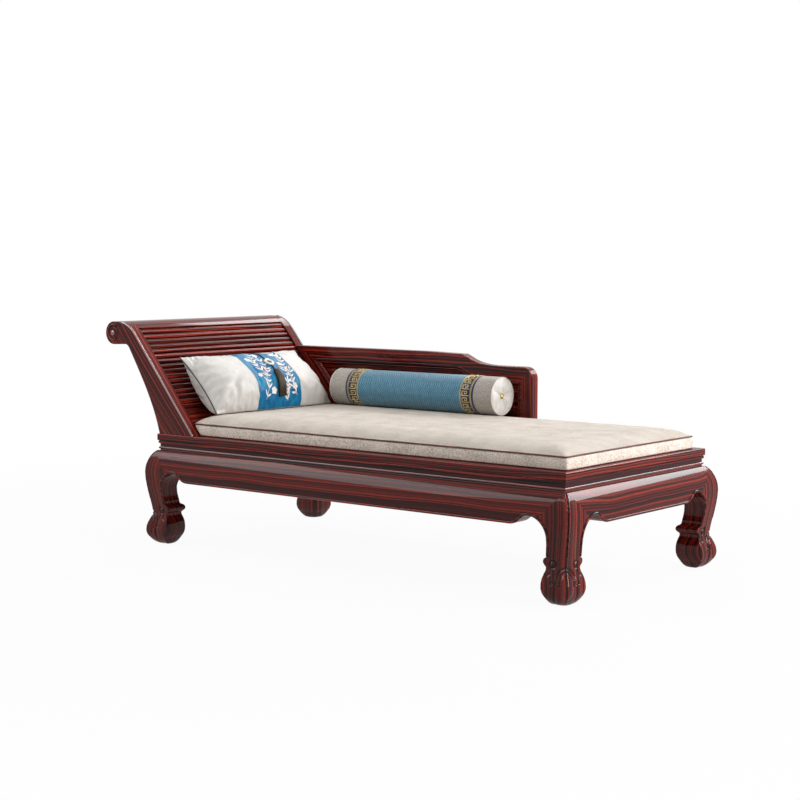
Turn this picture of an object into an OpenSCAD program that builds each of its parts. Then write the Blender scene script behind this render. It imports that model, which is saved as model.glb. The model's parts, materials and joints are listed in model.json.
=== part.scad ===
// Chinese chaise longue: a low waisted seat frame on curled feet, a scrolled slatted headrest,
// a half-length panelled back, and a loose mattress, pillow and bolster.
// Millimetres, +Z up, +X towards the foot end, +Y towards the back.
// The origin is on the floor under the middle of the whole bed.

/* [Seat frame] */
// Length of the seat frame
frame_len = 1800; // [1600:10:2000]
// Width of the seat frame, front to back
frame_wid = 856; // [780:2:920]
// Height of the frame's top face above the floor
frame_top = 407; // [395:1:440]
// Width of each seat rail
rail_w = 85; // [80:1:100]
// Height of the upper band of the rail's edge
band_h = 25; // [20:1:30]
// Height of the lower band of the rail's edge
step_h = 11; // [9:1:18]
// Setback of the lower band
step_in = 3; // [2:0.5:6]
// Rounding of the bands' arrises
arris_r = 4; // [1.5:0.5:4.5]
// Thickness of the seat panel
panel_t = 12; // [10:1:16]
// Depth of the panel's top below the frame's top
panel_sunk = 2; // [0.5:0.5:4]
// Thickness of the panel's tongue
tongue_t = 6; // [4:0.5:8]
// Length of the panel's tongue into its groove
tongue_l = 7; // [5:0.5:9]

/* [Battens] */
// Number of cross battens
batten_n = 4; // [4:1:4]
// Width of a batten
batten_w = 50; // [40:1:60]
// Height of a batten below the panel
batten_h = 26; // [20:1:34]
// Height of a batten's dovetail in the panel
dovetail_h = 4; // [3:0.5:5]
// Width of the dovetail at its narrow foot
dovetail_w = 28; // [22:1:34]
// Flare of the dovetail on each side
dovetail_flare = 3; // [1:0.5:5]
// Length of a batten's tenon into the long rail
batten_tenon = 14; // [8:1:20]

/* [Waist, bead and aprons] */
// Height of the waist strips
waist_h = 11; // [8:1:20]
// Setback of the waist strips from the frame's edge
waist_in = 8; // [6:0.5:14]
// Height of the half-round bead
bead_h = 9; // [7:0.5:14]
// Setback of the bead's nose from the frame's edge
bead_in = 3.5; // [2:0.5:5]
// Height of the quirk between the bead and the apron
quirk_h = 5; // [3:0.5:8]
// Distance of the strips' inner faces from the frame's edge
strip_back = 30; // [27:1:36]
// Height of the aprons
apron_h = 106.5; // [98:0.5:112]
// Thickness of the aprons at their lower edge
apron_t = 60; // [40:1:62]
// Distance from the corner at which the aprons' lower edge becomes straight
cusp_reach = 185; // [175:1:220]

/* [Legs] */
// Bulge of the knee beyond the frame's edge
knee_out = 34; // [26:0.5:36]
// Height of the widest point of the knee
knee_z = 265; // [258:1:272]
// Bulge of the ankle beyond the frame's edge
ankle_out = 15; // [8:0.5:18]
// Height of the ankle
ankle_z = 115; // [108:1:120]
// Bulge of the ball foot beyond the frame's edge
ball_out = 31.5; // [24:0.5:32.5]
// Height of the widest point of the ball foot
ball_z = 50; // [42:1:56]
// Setback of the sole's edge from the frame's edge
sole_in = 2; // [0:0.5:12]
// Width of the sole
sole_w = 48; // [40:1:52]
// Inset of the shank's inner face from the frame's edge
shank_in = 51; // [44:0.5:54]
// Radius of the arch between a leg and the apron
arch_r = 64.5; // [58:0.5:68]
// Height of the centre of the arch
arch_z = 206; // [198:1:208]
// Radius of the curl at the back of the ankle
curl_r = 14; // [11:0.5:16]
// Inset of the curl's centre from the frame's edge
curl_in = 58; // [55:0.5:60]
// Height of the curl's centre
curl_z = 131.5; // [128:0.5:136]
// Inset of the ball foot's inner face from the frame's edge
ball_in = 68; // [65:0.5:74]
// Rounding cut of the leg's outer corner
corner_cut = 2; // [1:0.5:10]
// Width of the square post that carries the frame
post_w = 46; // [40:1:48]

/* [Headrest] */
// Lean of the headrest from the vertical
head_lean = 39.8; // [36:0.2:42]
// Height of the headrest above the frame
head_h = 407.5; // [380:0.5:430]
// Thickness of the stiles and of the back
stile_t = 40; // [34:1:46]
// Inset of the stiles' outer faces from the frame's edge
stile_in = 1; // [0.5:0.5:4]
// Distance of the stile's front edge from the head end, on the frame
stile_front = 187; // [175:1:200]
// Distance of the stile's back edge from the head end, on the frame
stile_back = 10; // [6:1:30]
// Radius of the crest at the top front
crest_r = 123; // [110:1:135]
// Radius of the scroll
scroll_r = 43; // [38:0.5:46]
// Distance of the scroll's centre behind the crest's centre
scroll_back = 26; // [15:0.5:40]
// Number of slats
slat_n = 19; // [17:1:19]
// Gap between slats
slat_gap = 2; // [1:0.25:4]
// Thickness of a slat
slat_t = 16; // [12:0.5:20]
// Setback of the slats behind the stiles' front edges
slat_in = 5; // [3:0.5:9]
// Height of the headrest's bottom rail, along the slope
head_rail_h = 62; // [50:1:80]
// Thickness of the headrest's bottom rail
head_rail_t = 22; // [18:1:28]
// Depth of the roll's underside behind its front
roll_d = 30; // [24:1:34]

/* [Back] */
// Distance of the back's foot end from the bed's head end
back_end = 1110; // [1000:2:1200]
// Height of the back's high part above the frame
back_high = 290; // [280:1:310]
// Height of the back's low part above the frame
back_low = 248; // [235:1:262]
// Distance from the head end at which the step down starts
ogee_at = 754; // [700:2:800]
// Length of the step down
ogee_len = 208; // [120:2:220]
// Share of the step's length over which it leaves its high end
ogee_ease = 0.37; // [0.2:0.01:0.5]
// Share of the step's length over which it runs out at its low end
ogee_tail = 0.75; // [0.4:0.05:0.8]
// Radius of the rounded corner at the foot end
back_corner_r = 42; // [30:1:52]
// Width of the back's top rail
back_rail_w = 57; // [54:1:66]
// Width of the back's foot post
back_post_w = 56; // [54:1:66]
// Width of the back's leaning stile
back_stile_w = 50; // [44:1:60]
// Height of the back's base rail
back_base_w = 48; // [40:1:60]
// Width of the moulded lip round the opening
lip_w = 9; // [6:0.5:14]
// Thickness of the moulded lip
lip_t = 30; // [24:1:32]
// Thickness of the back panel at its edge
back_panel_t = 8; // [6:0.5:12]
// Extra thickness of the panel's raised field, on each face
field_up = 4; // [2:0.5:6]
// Margin of the raised field inside the lip
field_in = 24; // [16:1:36]

/* [Joints] */
// Clearance round a tenon
fit = 0.2; // [0.1:0.05:0.4]
// Clearance between the back and the leaning stile
lean_fit = 0.05; // [0.05:0.05:0.3]
// Thickness of the corner tenons
tenon_t = 12; // [9:1:13]
// Depth of the stiles' and post's tenons in the frame
foot_tenon = 20; // [12:1:24]
// Thickness of the stiles' and post's tenons
foot_tenon_t = 14; // [10:1:16]
// Length of the slats' tenons into the stiles
slat_tenon = 8; // [5:0.5:14]

/* [Mattress] */
// Height of the mattress at its seam
seam_h = 42; // [34:1:55]
// Rise of the crown above the seam
crown_h = 33; // [20:1:40]
// Distance from the edge over which the crown rises
crown_run = 140; // [110:1:170]
// Inset of the mattress from the front edge
matt_front = 35; // [25:1:50]
// Inset of the mattress from the foot end
matt_foot = 21; // [12:1:40]
// Radius of the mattress's corners
matt_corner = 8; // [6:1:40]
// Draw-in of the mattress's sides between the corners
matt_draw = 4; // [1:0.5:8]
// Radius of the piping
piping_r = 2.7; // [2:0.1:3]
// Gap between a soft piece and what it rests on
soft_gap = 0.4; // [0.3:0.1:1]

/* [Pillow] */
// Width of the pillow, corner to corner
pillow_w = 628; // [540:2:680]
// Height of the pillow, corner to corner
pillow_h = 279; // [250:1:320]
// Half thickness of the pillow
pillow_half = 68; // [54:1:70]
// Share by which the pillow's sides and top draw in
pillow_draw = 0.05; // [0.01:0.005:0.08]
// Share by which the filling has sunk to the pillow's foot
pillow_sag = 0.3; // [0:0.05:0.4]
// Lean of the pillow from the vertical
pillow_lean = 43.7; // [43:0.1:48]
// Offset of the pillow from the middle of the headrest
pillow_y = -18; // [-40:1:0]
// Distance of the pillow's middle plane from the stiles' front edges
pillow_off = 60; // [56:0.5:64]
// Height of the pillow's centre above the mattress
pillow_up = 101; // [98:0.5:108]
// Radius of the pendant's ring
ring_r = 16; // [12:0.5:20]
// Radius of the ring's section
ring_sec = 4.5; // [3:0.25:6]
// Length of the tassel
tassel_l = 100; // [80:1:120]
// Width of the tassel
tassel_w = 34; // [24:1:44]
// Thickness of the tassel
tassel_t = 10; // [7:0.5:14]

/* [Bolster] */
// Length of the bolster between its end seams
bolster_len = 775; // [640:5:800]
// Radius of the bolster
bolster_r = 71; // [62:0.5:76]
// Distance of the bolster's middle from the bed's head end
bolster_at = 642; // [625:1:700]
// Gap between the bolster and the back
bolster_gap = 1; // [0.5:0.5:6]
// Radius of the end buttons
button_r = 9; // [7:0.5:12]
// Bulge of the bolster's ends
cap_out = 9; // [5:0.5:14]

/* [Hidden] */
hx = frame_len / 2;
hy = frame_wid / 2;
rail_bot = frame_top - band_h - step_h;
waist_bot = rail_bot - waist_h;
bead_bot = waist_bot - bead_h;
apron_top = bead_bot - quirk_h;
apron_bot = apron_top - apron_h;
panel_top = frame_top - panel_sunk;
panel_bot = panel_top - panel_t;
// Half spacings of the seat panel's opening
open_x = hx - rail_w;
open_y = hy - rail_w;
// Middle line of the leg's post, from the frame's edges
post_c = strip_back + post_w / 2;
// The leg is turned about this inset from both edges
axis_in = 29;
// Mid-thickness plane of the stiles and the back
board_y = hy - stile_in - stile_t / 2;
board_in = hy - stile_in - stile_t;
// The stile's front edge: its foot, its direction and its normal
edge_x = -hx + stile_front;
edge_u = [-sin(head_lean), cos(head_lean)];
edge_n = [cos(head_lean), sin(head_lean)];
head_top = frame_top + head_h;
crest_z = head_top - crest_r;
crest_x = edge_x - (crest_r + (crest_z - frame_top) * sin(head_lean)) / cos(head_lean);
scroll_cx = crest_x - scroll_back;
scroll_cz = head_top - scroll_r;
// Shift that puts the origin under the middle of the whole bed
seat_x = -(scroll_cx - scroll_r + hx + knee_out) / 2;
// Angle on the crest at which the roll starts
roll_a = 54;
// Slope distance at which the last slat ends
slat_end = (crest_z + crest_r * sin(roll_a) - frame_top + slat_in * sin(head_lean)) / cos(head_lean) - 1;
slat_pitch = (slat_end - head_rail_h) / slat_n;
// The back's corners and centre
back_x = -hx + back_end;
back_top1 = frame_top + back_high;
back_top2 = frame_top + back_low;
ogee_x = -hx + ogee_at;
back_mid = [-hx + 550, frame_top + 113];
// Mattress plan, relative to the seat's centre
matt_y0 = -hy + matt_front;
matt_y1 = board_in - soft_gap;
matt_x1 = hx - matt_foot;
// Steps along the mattress's four sides and round each corner
matt_sides = [12, 8, 12, 8];
matt_arc = 4;
piping_in = piping_r + 0.3;
notch_in = piping_in + piping_r * 2.2;
matt_top = frame_top + soft_gap + seam_h + crown_h;
// Bolster axis
bolster_y = board_in - bolster_gap - bolster_r;
// Allowance for the crown's slope under the bolster
bolster_lift = 0.25;
bolster_rise = soft_gap + crown_z(matt_y1 - bolster_y) + bolster_lift;
bolster_z = frame_top + soft_gap + bolster_rise + bolster_r;
// Pillow axes
pillow_u = [-sin(pillow_lean), cos(pillow_lean)];
pillow_n = [cos(pillow_lean), sin(pillow_lean)];
pillow_cz = matt_top + pillow_up;
pillow_cx = edge_x - ((pillow_cz - frame_top) * sin(head_lean) - pillow_off) / cos(head_lean);
pillow_nu = 20;
pillow_nv = 14;
wood = "#5a1f1b";
wood_light = "#7a2f28";

SIDES = ["front", "rear", "head", "foot"];
LEGS = ["front_head", "front_foot", "rear_head", "rear_foot"];

// Length by which a tenon is sunk in its own piece, so that the two are one solid
root = 2;

// Helpers

function arc(cx, cz, r, a0, a1, n) =
    [for (i = [0:n]) let (a = a0 + (a1 - a0) * i / n) [cx + r * cos(a), cz + r * sin(a)]];

function bez(p, q, r, s, n) =
    [for (i = [0:n]) let (t = i / n, w = 1 - t)
        w * w * w * p + 3 * w * w * t * q + 3 * w * t * t * r + t * t * t * s];

function flip(pts) = [for (p = pts) [-p[0], p[1]]];

function back_to_front(pts) = [for (i = [len(pts) - 1:-1:0]) pts[i]];

// A point of the headrest's plane: s along the slope, n in front of the stiles' edges
function slope_pt(s, n) = [edge_x, frame_top] + s * edge_u + n * edge_n;

// The stiles' front edge at a height
function edge_at(z) = edge_x - (z - frame_top) * tan(head_lean);

module at_seat() {
    translate([seat_x, 0, 0]) children();
}

// A shape drawn in the XZ plane, spread along Y
module across(width, y = 0) {
    translate([0, y + width / 2, 0]) rotate([90, 0, 0]) linear_extrude(height = width) children();
}

module block(centre, size) {
    translate(centre) cube(size, center = true);
}

// Turns the front side's frame to another side: local -Y is outward
module on_side(side) {
    rotate(side == "front" ? 0 : side == "rear" ? 180 : side == "head" ? -90 : 90) children();
}

function side_len(side) = side == "front" || side == "rear" ? frame_len : frame_wid;
function side_half(side) = side == "front" || side == "rear" ? hy : hx;

// A section of [outward, z] points, run along one side and mitred at both corners
module mitred_run(side, section, out, inw) {
    l = side_len(side) / 2;
    h = side_half(side);
    intersection() {
        translate([0, -h, 0]) rotate([90, 0, 90])
            linear_extrude(height = 2 * (l + out + 1), center = true) polygon(flip(section));
        linear_extrude(height = frame_top + 1)
            polygon([[-l - out, -h - out], [l + out, -h - out],
                     [l - inw, -h + inw], [-l + inw, -h + inw]]);
    }
}

// Seat frame

rail_section = concat(
    [[-rail_w, frame_top]],
    arc(-arris_r, frame_top - arris_r, arris_r, 90, 0, 5),
    arc(-arris_r, frame_top - band_h + arris_r, arris_r, 0, -90, 5),
    arc(-step_in - arris_r, rail_bot + step_h - arris_r, arris_r, 70, 0, 4),
    arc(-step_in - arris_r, rail_bot + arris_r, arris_r, 0, -90, 5),
    [[-rail_w, rail_bot]]
);

// Height of the seat panel's tongue, middle
tongue_z = panel_bot + panel_t / 2;

module panel_groove(side) {
    l = side_len(side);
    depth = tongue_l + 1;
    block([0, -side_half(side) + rail_w - depth / 2, tongue_z],
          [l - 2 * rail_w + 2 * depth, depth + 0.02, tongue_t + 2 * fit]);
}

// Corner tenon of a long rail in a short rail; grow is the clearance of its mortise
corner_tenon_w = 28;
corner_tenon_in = rail_w / 2 + 4;
corner_tenon_end = 12;

module corner_tenon(sx, sy, grow) {
    x0 = hx - corner_tenon_in - corner_tenon_w / 2 - root;
    x1 = hx - corner_tenon_end + grow;
    block([sx * (x0 + x1) / 2, sy * (hy - corner_tenon_in), (rail_bot + frame_top) / 2],
          [x1 - x0, corner_tenon_w + 2 * grow, tenon_t + 2 * grow]);
}

// Stub tenon of a leg's post, half in each rail
post_tenon_w = 18;
post_tenon_h = 7;

module post_tenon(sx, sy, grow) {
    block([sx * (hx - post_c), sy * (hy - post_c), rail_bot + (post_tenon_h + grow - root) / 2],
          [post_tenon_w + 2 * grow, post_tenon_w + 2 * grow, post_tenon_h + grow + root]);
}

// Tenons that hold the stiles and the back down to the long rails: their places along X
stile_tenon_w = 30;
stile_tenons = [-hx + stile_back + 36, edge_x - 38];
// Distance of the back's first tenon from the stiles' front edges
first_tenon = 190;
back_tenons = [edge_x + first_tenon, (edge_x + back_x) / 2, back_x - back_post_w - 60,
               back_x - back_post_w / 2];

module foot_tenons(places, sy, grow) {
    for (x = places)
        block([x, sy * board_y, frame_top - (foot_tenon + grow - root) / 2],
              [stile_tenon_w + 2 * grow, foot_tenon_t + 2 * grow, foot_tenon + grow + root]);
}

batten_tenon_w = 30;
batten_z = panel_bot - batten_h / 2;
batten_tenon_z = (rail_bot + panel_bot) / 2 - 1;
function batten_x(i) = open_x * (2 * i - 1 - batten_n) / batten_n;

module batten_tenons(i, grow) {
    block([batten_x(i), 0, batten_tenon_z],
          [batten_tenon_w + 2 * grow, 2 * (open_y + batten_tenon + grow), tenon_t + 2 * grow]);
}

module seat_rail(side) {
    long = side == "front" || side == "rear";
    sy = side == "front" ? -1 : 1;
    sx = side == "head" ? -1 : 1;
    color(wood)
        at_seat()
            difference() {
                union() {
                    on_side(side) mitred_run(side, rail_section, 1, rail_w);
                    if (long) for (end = [-1, 1]) corner_tenon(end, sy, 0);
                }
                on_side(side) panel_groove(side);
                if (long) {
                    for (end = [-1, 1]) post_tenon(end, sy, fit);
                    for (i = [1:batten_n]) batten_tenons(i, fit);
                    foot_tenons(stile_tenons, sy, fit);
                    if (side == "rear") foot_tenons(back_tenons, sy, fit);
                } else {
                    for (end = [-1, 1]) {
                        post_tenon(sx, end, fit);
                        corner_tenon(sx, end, fit);
                    }
                }
            }
}

module dovetail(i, grow) {
    h = dovetail_h + grow;
    foot = dovetail_w / 2 + grow;
    top = foot + dovetail_flare;
    translate([batten_x(i), 0, panel_bot])
        across(2 * open_y)
            polygon([[-foot, -0.02], [foot, -0.02], [top, h], [-top, h]]);
}

module seat_panel() {
    color(wood_light)
        at_seat()
            difference() {
                union() {
                    block([0, 0, (panel_top + panel_bot) / 2],
                          [2 * (open_x - fit), 2 * (open_y - fit), panel_t]);
                    block([0, 0, tongue_z],
                          [2 * (open_x + tongue_l), 2 * (open_y + tongue_l), tongue_t]);
                }
                for (i = [1:batten_n]) dovetail(i, fit);
            }
}

module batten(i) {
    color(wood)
        at_seat() {
            block([batten_x(i), 0, batten_z], [batten_w, 2 * (open_y - fit), batten_h]);
            intersection() {
                dovetail(i, 0);
                block([batten_x(i), 0, panel_bot], [batten_w, 2 * (open_y - fit), 4 * dovetail_h]);
            }
            batten_tenons(i, 0);
        }
}

// Waist and bead

module waist(side) {
    color(wood)
        at_seat()
            on_side(side)
                mitred_run(side, [[-strip_back, rail_bot], [-waist_in, rail_bot],
                                  [-waist_in, waist_bot], [-strip_back, waist_bot]], 1, strip_back);
}

module bead(side) {
    r = bead_h / 2;
    section = concat([[-strip_back, waist_bot]],
                     arc(-bead_in - r, bead_bot + r, r, 90, -90, 12),
                     [[-bead_in - r, apron_top], [-strip_back, apron_top]]);
    color(wood_light)
        at_seat()
            on_side(side) mitred_run(side, section, 1, strip_back);
}

// Aprons and legs share the outer curve and the arch

// Outer curve of the knee, from the bead down to the knee's widest point
knee_curve = bez([1, apron_top], [knee_out * 0.5, apron_top - 12],
                 [knee_out, knee_z + 40], [knee_out, knee_z], 7);
// From the knee down to the ankle, the ball foot and the sole
shank_curve = bez([knee_out, knee_z], [knee_out, knee_z - 50],
                  [ankle_out, ankle_z + 25], [ankle_out, ankle_z], 7);
ball_curve = bez([ankle_out, ankle_z], [ankle_out, ankle_z - 18],
                 [ball_out, ball_z + 28], [ball_out, ball_z], 5);
sole_curve = bez([ball_out, ball_z], [ball_out, ball_z - 28],
                 [-sole_in + 19, 2], [-sole_in, 0], 6);
leg_outer = concat(knee_curve, shank_curve, ball_curve, sole_curve);

// Inset of the arch's centre from the frame's edge
arch_in = shank_in + arch_r;
// The mitre line falls at 45 degrees from the corner and meets the arch at this angle
mitre_a = 45 + asin((apron_top - arch_z - arch_in) / (arch_r * sqrt(2)));
// Angle at which the apron's free curve takes over from the arch
arch_end = 99;

// Outward bulge of the knee curve at the apron's lower edge
apron_out = knee_out - 1;

apron_tenon_z = apron_top - 48;
apron_tenon_h = 24;
apron_tenon_t = 11;
apron_tenon_out = 14;
apron_tenon_end = 20;

// Tenon of an apron in the leg at one end, in the side's own frame
module apron_tenon(side, end, grow) {
    s0 = apron_tenon_end - grow;
    s1 = apron_top - apron_tenon_z + apron_tenon_h / 2 + 4 * root;
    block([end * (side_len(side) / 2 - (s0 + s1) / 2), -side_half(side) - apron_tenon_out,
           apron_tenon_z],
          [s1 - s0, apron_tenon_t + 2 * grow, apron_tenon_h + 2 * grow]);
}

// Lower edge of an apron at its right end, from the straight part up to the mitre line
function apron_edge(l) = concat(
    bez([l - cusp_reach, apron_bot], [l - arch_in - 35, apron_bot + 1],
        [l - arch_in - 27, arch_z + arch_r - 4], [l - arch_in + arch_r * cos(arch_end),
        arch_z + arch_r * sin(arch_end)], 7),
    arc(l - arch_in, arch_z, arch_r, arch_end - 6, mitre_a, 6)
);

module apron(side) {
    l = side_len(side) / 2;
    right = apron_edge(l);
    section = concat(knee_curve,
                     [[apron_out, apron_bot], [apron_out - apron_t, apron_bot],
                      [apron_out - apron_t - 2, apron_top - 61], [-strip_back, apron_top - 11],
                      [-strip_back, apron_top]]);
    color(wood)
        at_seat()
            on_side(side) {
                intersection() {
                    mitred_run(side, section, knee_out + 1, strip_back);
                    across(4 * hx)
                        polygon(concat([[l, apron_top]], back_to_front(right), flip(right),
                                       [[-l, apron_top]]));
                }
                for (end = [-1, 1]) apron_tenon(side, end, 0);
            }
}

// Side view of a leg as [outward, z] points
leg_view = concat(
    leg_outer,
    bez([-sole_in - sole_w, 0], [-ball_in + 6, 6], [-ball_in, 40], [-ball_in, ball_z + 15], 5),
    bez([-ball_in, ball_z + 15], [-ball_in, ball_z + 43], [-curl_in - 3, ankle_z - 12],
        [-curl_in - 3, ankle_z], 4),
    arc(-curl_in, curl_z, curl_r, 215, 100, 8),
    bez([-curl_in + 1, curl_z + curl_r + 4], [-curl_in + 2, curl_z + curl_r + 20],
        [-shank_in, arch_z - 25], [-shank_in, arch_z], 4),
    arc(-arch_in, arch_z, arch_r, 0, mitre_a, 8),
    [[0, apron_top]]
);

// The outer corner's rounding, turned about the leg's axis
function turned(p) = [sqrt(2) * (axis_in + p[0]) - corner_cut, p[1]];

module leg(name) {
    sx = name == "front_head" || name == "rear_head" ? -1 : 1;
    sy = name == "front_head" || name == "front_foot" ? -1 : 1;
    post_bottom = arch_z + arch_r * sin(mitre_a);
    color(wood)
        at_seat()
            difference() {
                union() {
                    intersection() {
                        translate([sx * hx, 0, 0])
                            across(4 * hy)
                                polygon(sx > 0 ? leg_view : flip(leg_view));
                        translate([0, sy * hy, 0])
                            rotate([90, 0, 90])
                                linear_extrude(height = 4 * hx, center = true)
                                    polygon(sy > 0 ? leg_view : flip(leg_view));
                        translate([sx * (hx - axis_in), sy * (hy - axis_in), 0])
                            rotate_extrude($fn = 72)
                                polygon(concat([[0, 0]], [[0, apron_top]],
                                               [for (p = leg_outer) turned(p)]));
                    }
                    block([sx * (hx - post_c), sy * (hy - post_c), (post_bottom + rail_bot) / 2],
                          [post_w, post_w, rail_bot - post_bottom]);
                    post_tenon(sx, sy, 0);
                }
                on_side(sy < 0 ? "front" : "rear")
                    apron_tenon("front", sy < 0 ? sx : -sx, fit);
                on_side(sx < 0 ? "head" : "foot")
                    apron_tenon("head", sx < 0 ? -sy : sy, fit);
            }
}

// Headrest

// Where the scroll's underside turns into the back edge
throat = [scroll_cx + 75, head_top - 2 * scroll_r + 5];
stile_view = concat(
    [[edge_x, frame_top]],
    arc(crest_x, crest_z, crest_r, head_lean, 90, 8),
    arc(scroll_cx, scroll_cz, scroll_r, 90, 270, 20),
    bez(throat + [-22, -3], throat + [-6, -1], throat + [3, -4], throat + [10, -15], 4),
    bez(throat + [14, -21], throat + [78, -122], [-hx + stile_back - 31, frame_top + 113],
        [-hx + stile_back, frame_top], 10)
);

// Top of the headrest: the part of the stile's outline behind the crest
roll_front = [crest_x + crest_r * cos(roll_a), crest_z + crest_r * sin(roll_a)];
roll_view = concat(
    arc(crest_x, crest_z, crest_r, roll_a, 90, 5),
    arc(scroll_cx, scroll_cz, scroll_r, 90, 270, 20),
    [throat + [-22, -2], throat + [-8, 10], roll_front - roll_d * edge_n]
);

// Round tenons of the roll in the stiles
roll_peg_r = 17;

function slat_s(i) = head_rail_h + (i - 0.5) * slat_pitch;

slat_tenon_w = 11;
slat_tenon_t = 8;

// Square tenons of a slat, one piece from stile to stile
module slat_tenons(i, grow) {
    c = slope_pt(slat_s(i), -slat_in - slat_t * 0.55);
    translate([c[0], 0, c[1]])
        rotate([0, -head_lean, 0])
            cube([slat_tenon_t + 2 * grow, 2 * (board_in + slat_tenon + grow),
                  slat_tenon_w + 2 * grow], center = true);
}

module slat(i) {
    w = slat_pitch - slat_gap;
    section = [for (a = [0:15:180])
        slope_pt(slat_s(i) + w / 2 * cos(a), -slat_in - slat_t * (1 - sin(a)))];
    color(i % 2 == 0 ? wood : wood_light)
        at_seat() {
            across(2 * board_in) polygon(section);
            slat_tenons(i, 0);
        }
}

head_rail_view = [
    slope_pt(slat_in * tan(head_lean), -slat_in),
    slope_pt(head_rail_h - slat_gap, -slat_in),
    slope_pt(head_rail_h - slat_gap, -slat_in - head_rail_t),
    slope_pt((slat_in + head_rail_t) * tan(head_lean), -slat_in - head_rail_t)
];

module head_rail_tenon(grow) {
    c = slope_pt(head_rail_h / 2 + 10, -slat_in - head_rail_t / 2);
    translate([c[0], 0, c[1]])
        rotate([0, -head_lean, 0])
            cube([tenon_t + 2 * grow, 2 * (board_in + slat_tenon + grow), 26 + 2 * grow],
                 center = true);
}

module head_rail() {
    color(wood)
        at_seat() {
            across(2 * board_in) polygon(head_rail_view);
            head_rail_tenon(0);
        }
}

module roll_peg(grow) {
    translate([scroll_cx, 0, scroll_cz])
        rotate([90, 0, 0])
            cylinder(r = roll_peg_r + grow, h = 2 * (board_in + slat_tenon + grow), center = true,
                     $fn = 48);
}

module head_roll() {
    color(wood)
        at_seat() {
            across(2 * board_in) polygon(roll_view);
            roll_peg(0);
        }
}

module stile(sy) {
    color(wood)
        at_seat()
            difference() {
                union() {
                    across(stile_t, sy * board_y) polygon(stile_view);
                    foot_tenons(stile_tenons, sy, 0);
                }
                for (i = [1:slat_n]) slat_tenons(i, fit);
                head_rail_tenon(fit);
                roll_peg(fit);
            }
}

// Back frame and panel

// Top edge of the back, set in by g from the outer outline, from the head end to the corner
function back_top_edge(g) = let (shift = -0.25 * g)
    bez([ogee_x + shift, back_top1 - g], [ogee_x + ogee_ease * ogee_len + shift, back_top1 - g],
        [ogee_x + (1 - ogee_tail) * ogee_len + shift, back_top2 - g],
        [ogee_x + ogee_len + shift, back_top2 - g], 14);

back_outer = concat(
    [[edge_at(frame_top) + lean_fit, frame_top], [edge_at(back_top1) + lean_fit, back_top1]],
    back_top_edge(0),
    arc(back_x - back_corner_r, back_top2 - back_corner_r, back_corner_r, 90, 0, 8),
    [[back_x, frame_top]]
);

// Corners of the opening, set in by e from the members' inner edges
function open_tl(e) = let (z = back_top1 - back_rail_w - e)
    [edge_at(z) + (back_stile_w + e) / cos(head_lean), z];
function open_tr(e) = [back_x - back_post_w - e, back_top2 - back_rail_w - e];
function open_br(e) = [back_x - back_post_w - e, frame_top + back_base_w + e];
function open_bl(e) = let (z = frame_top + back_base_w + e)
    [edge_at(z) + (back_stile_w + e) / cos(head_lean), z];

function back_opening(e) = concat(
    [open_bl(e), open_tl(e)], back_top_edge(back_rail_w + e), [open_tr(e), open_br(e)]);

function away(p, q, d) = p + (q - p) / norm(q - p) * (norm(q - p) + d);

corner_tl = [edge_at(back_top1), back_top1];
corner_tr = [back_x, back_top2];
foot_l = [edge_at(frame_top) + back_stile_w / cos(head_lean), frame_top];
foot_r = [back_x - back_post_w, frame_top];

// The sector of the back that belongs to one member, between two corners
function sector(out_a, in_a, lip_a, lip_b, in_b, out_b) =
    [out_a, in_a, lip_a, back_mid, lip_b, in_b, out_b];

top_sector = sector(away(open_tl(0), corner_tl, 40), open_tl(0), open_tl(lip_w),
                    open_tr(lip_w), open_tr(0), away(open_tr(0), corner_tr, 40));
post_sector = concat(
    sector(away(open_tr(0), corner_tr, 40), open_tr(0), open_tr(lip_w),
           open_br(lip_w), open_br(0), foot_r),
    [[back_x + 60, frame_top]]);
stile_sector = concat(
    sector(foot_l, open_bl(0), open_bl(lip_w), open_tl(lip_w), open_tl(0),
           away(open_tl(0), corner_tl, 40)),
    [[edge_at(back_top1) - 60, frame_top]]);
base_sector = sector(foot_r, open_br(0), open_br(lip_w), open_bl(lip_w), open_bl(0), foot_l);

// The parts of a ring inside one sector: full thickness outside, thin lip inside
module back_member(region) {
    difference() {
        union() {
            across(stile_t, board_y)
                intersection() {
                    difference() {
                        polygon(back_outer);
                        polygon(back_opening(0));
                    }
                    polygon(region);
                }
            across(lip_t, board_y)
                intersection() {
                    difference() {
                        polygon(back_opening(0));
                        polygon(back_opening(lip_w));
                    }
                    polygon(region);
                }
        }
        across(back_panel_t + 2 * fit, board_y) polygon(back_opening(lip_w - tongue_l - 1));
    }
}

// Size and places of the pegs that join the back's members
back_tenon = [30, foot_tenon_t - 2, 18];
tl_peg = (open_tl(0) + corner_tl) / 2 + [2, -1];
tr_peg = [back_x - back_post_w / 2 - 3, back_top2 - back_rail_w / 2 - 3];
bl_peg = [edge_at(frame_top + back_base_w / 2) + back_stile_w / cos(head_lean),
          frame_top + back_base_w / 2];
br_peg = [back_x - back_post_w, frame_top + back_base_w / 2];

module back_peg(at, grow) {
    block([at[0], board_y, at[1]], back_tenon + 2 * grow * [1, 1, 1]);
}

module back_top_rail() {
    color(wood)
        at_seat() {
            back_member(top_sector);
            back_peg(tl_peg, 0);
            back_peg(tr_peg, 0);
        }
}

module back_head_stile() {
    color(wood)
        at_seat()
            difference() {
                back_member(stile_sector);
                back_peg(tl_peg, fit);
                back_peg(bl_peg, fit);
            }
}

module back_foot_post() {
    color(wood)
        at_seat()
            difference() {
                union() {
                    back_member(post_sector);
                    foot_tenons([back_tenons[3]], 1, 0);
                }
                back_peg(tr_peg, fit);
                back_peg(br_peg, fit);
            }
}

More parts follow.
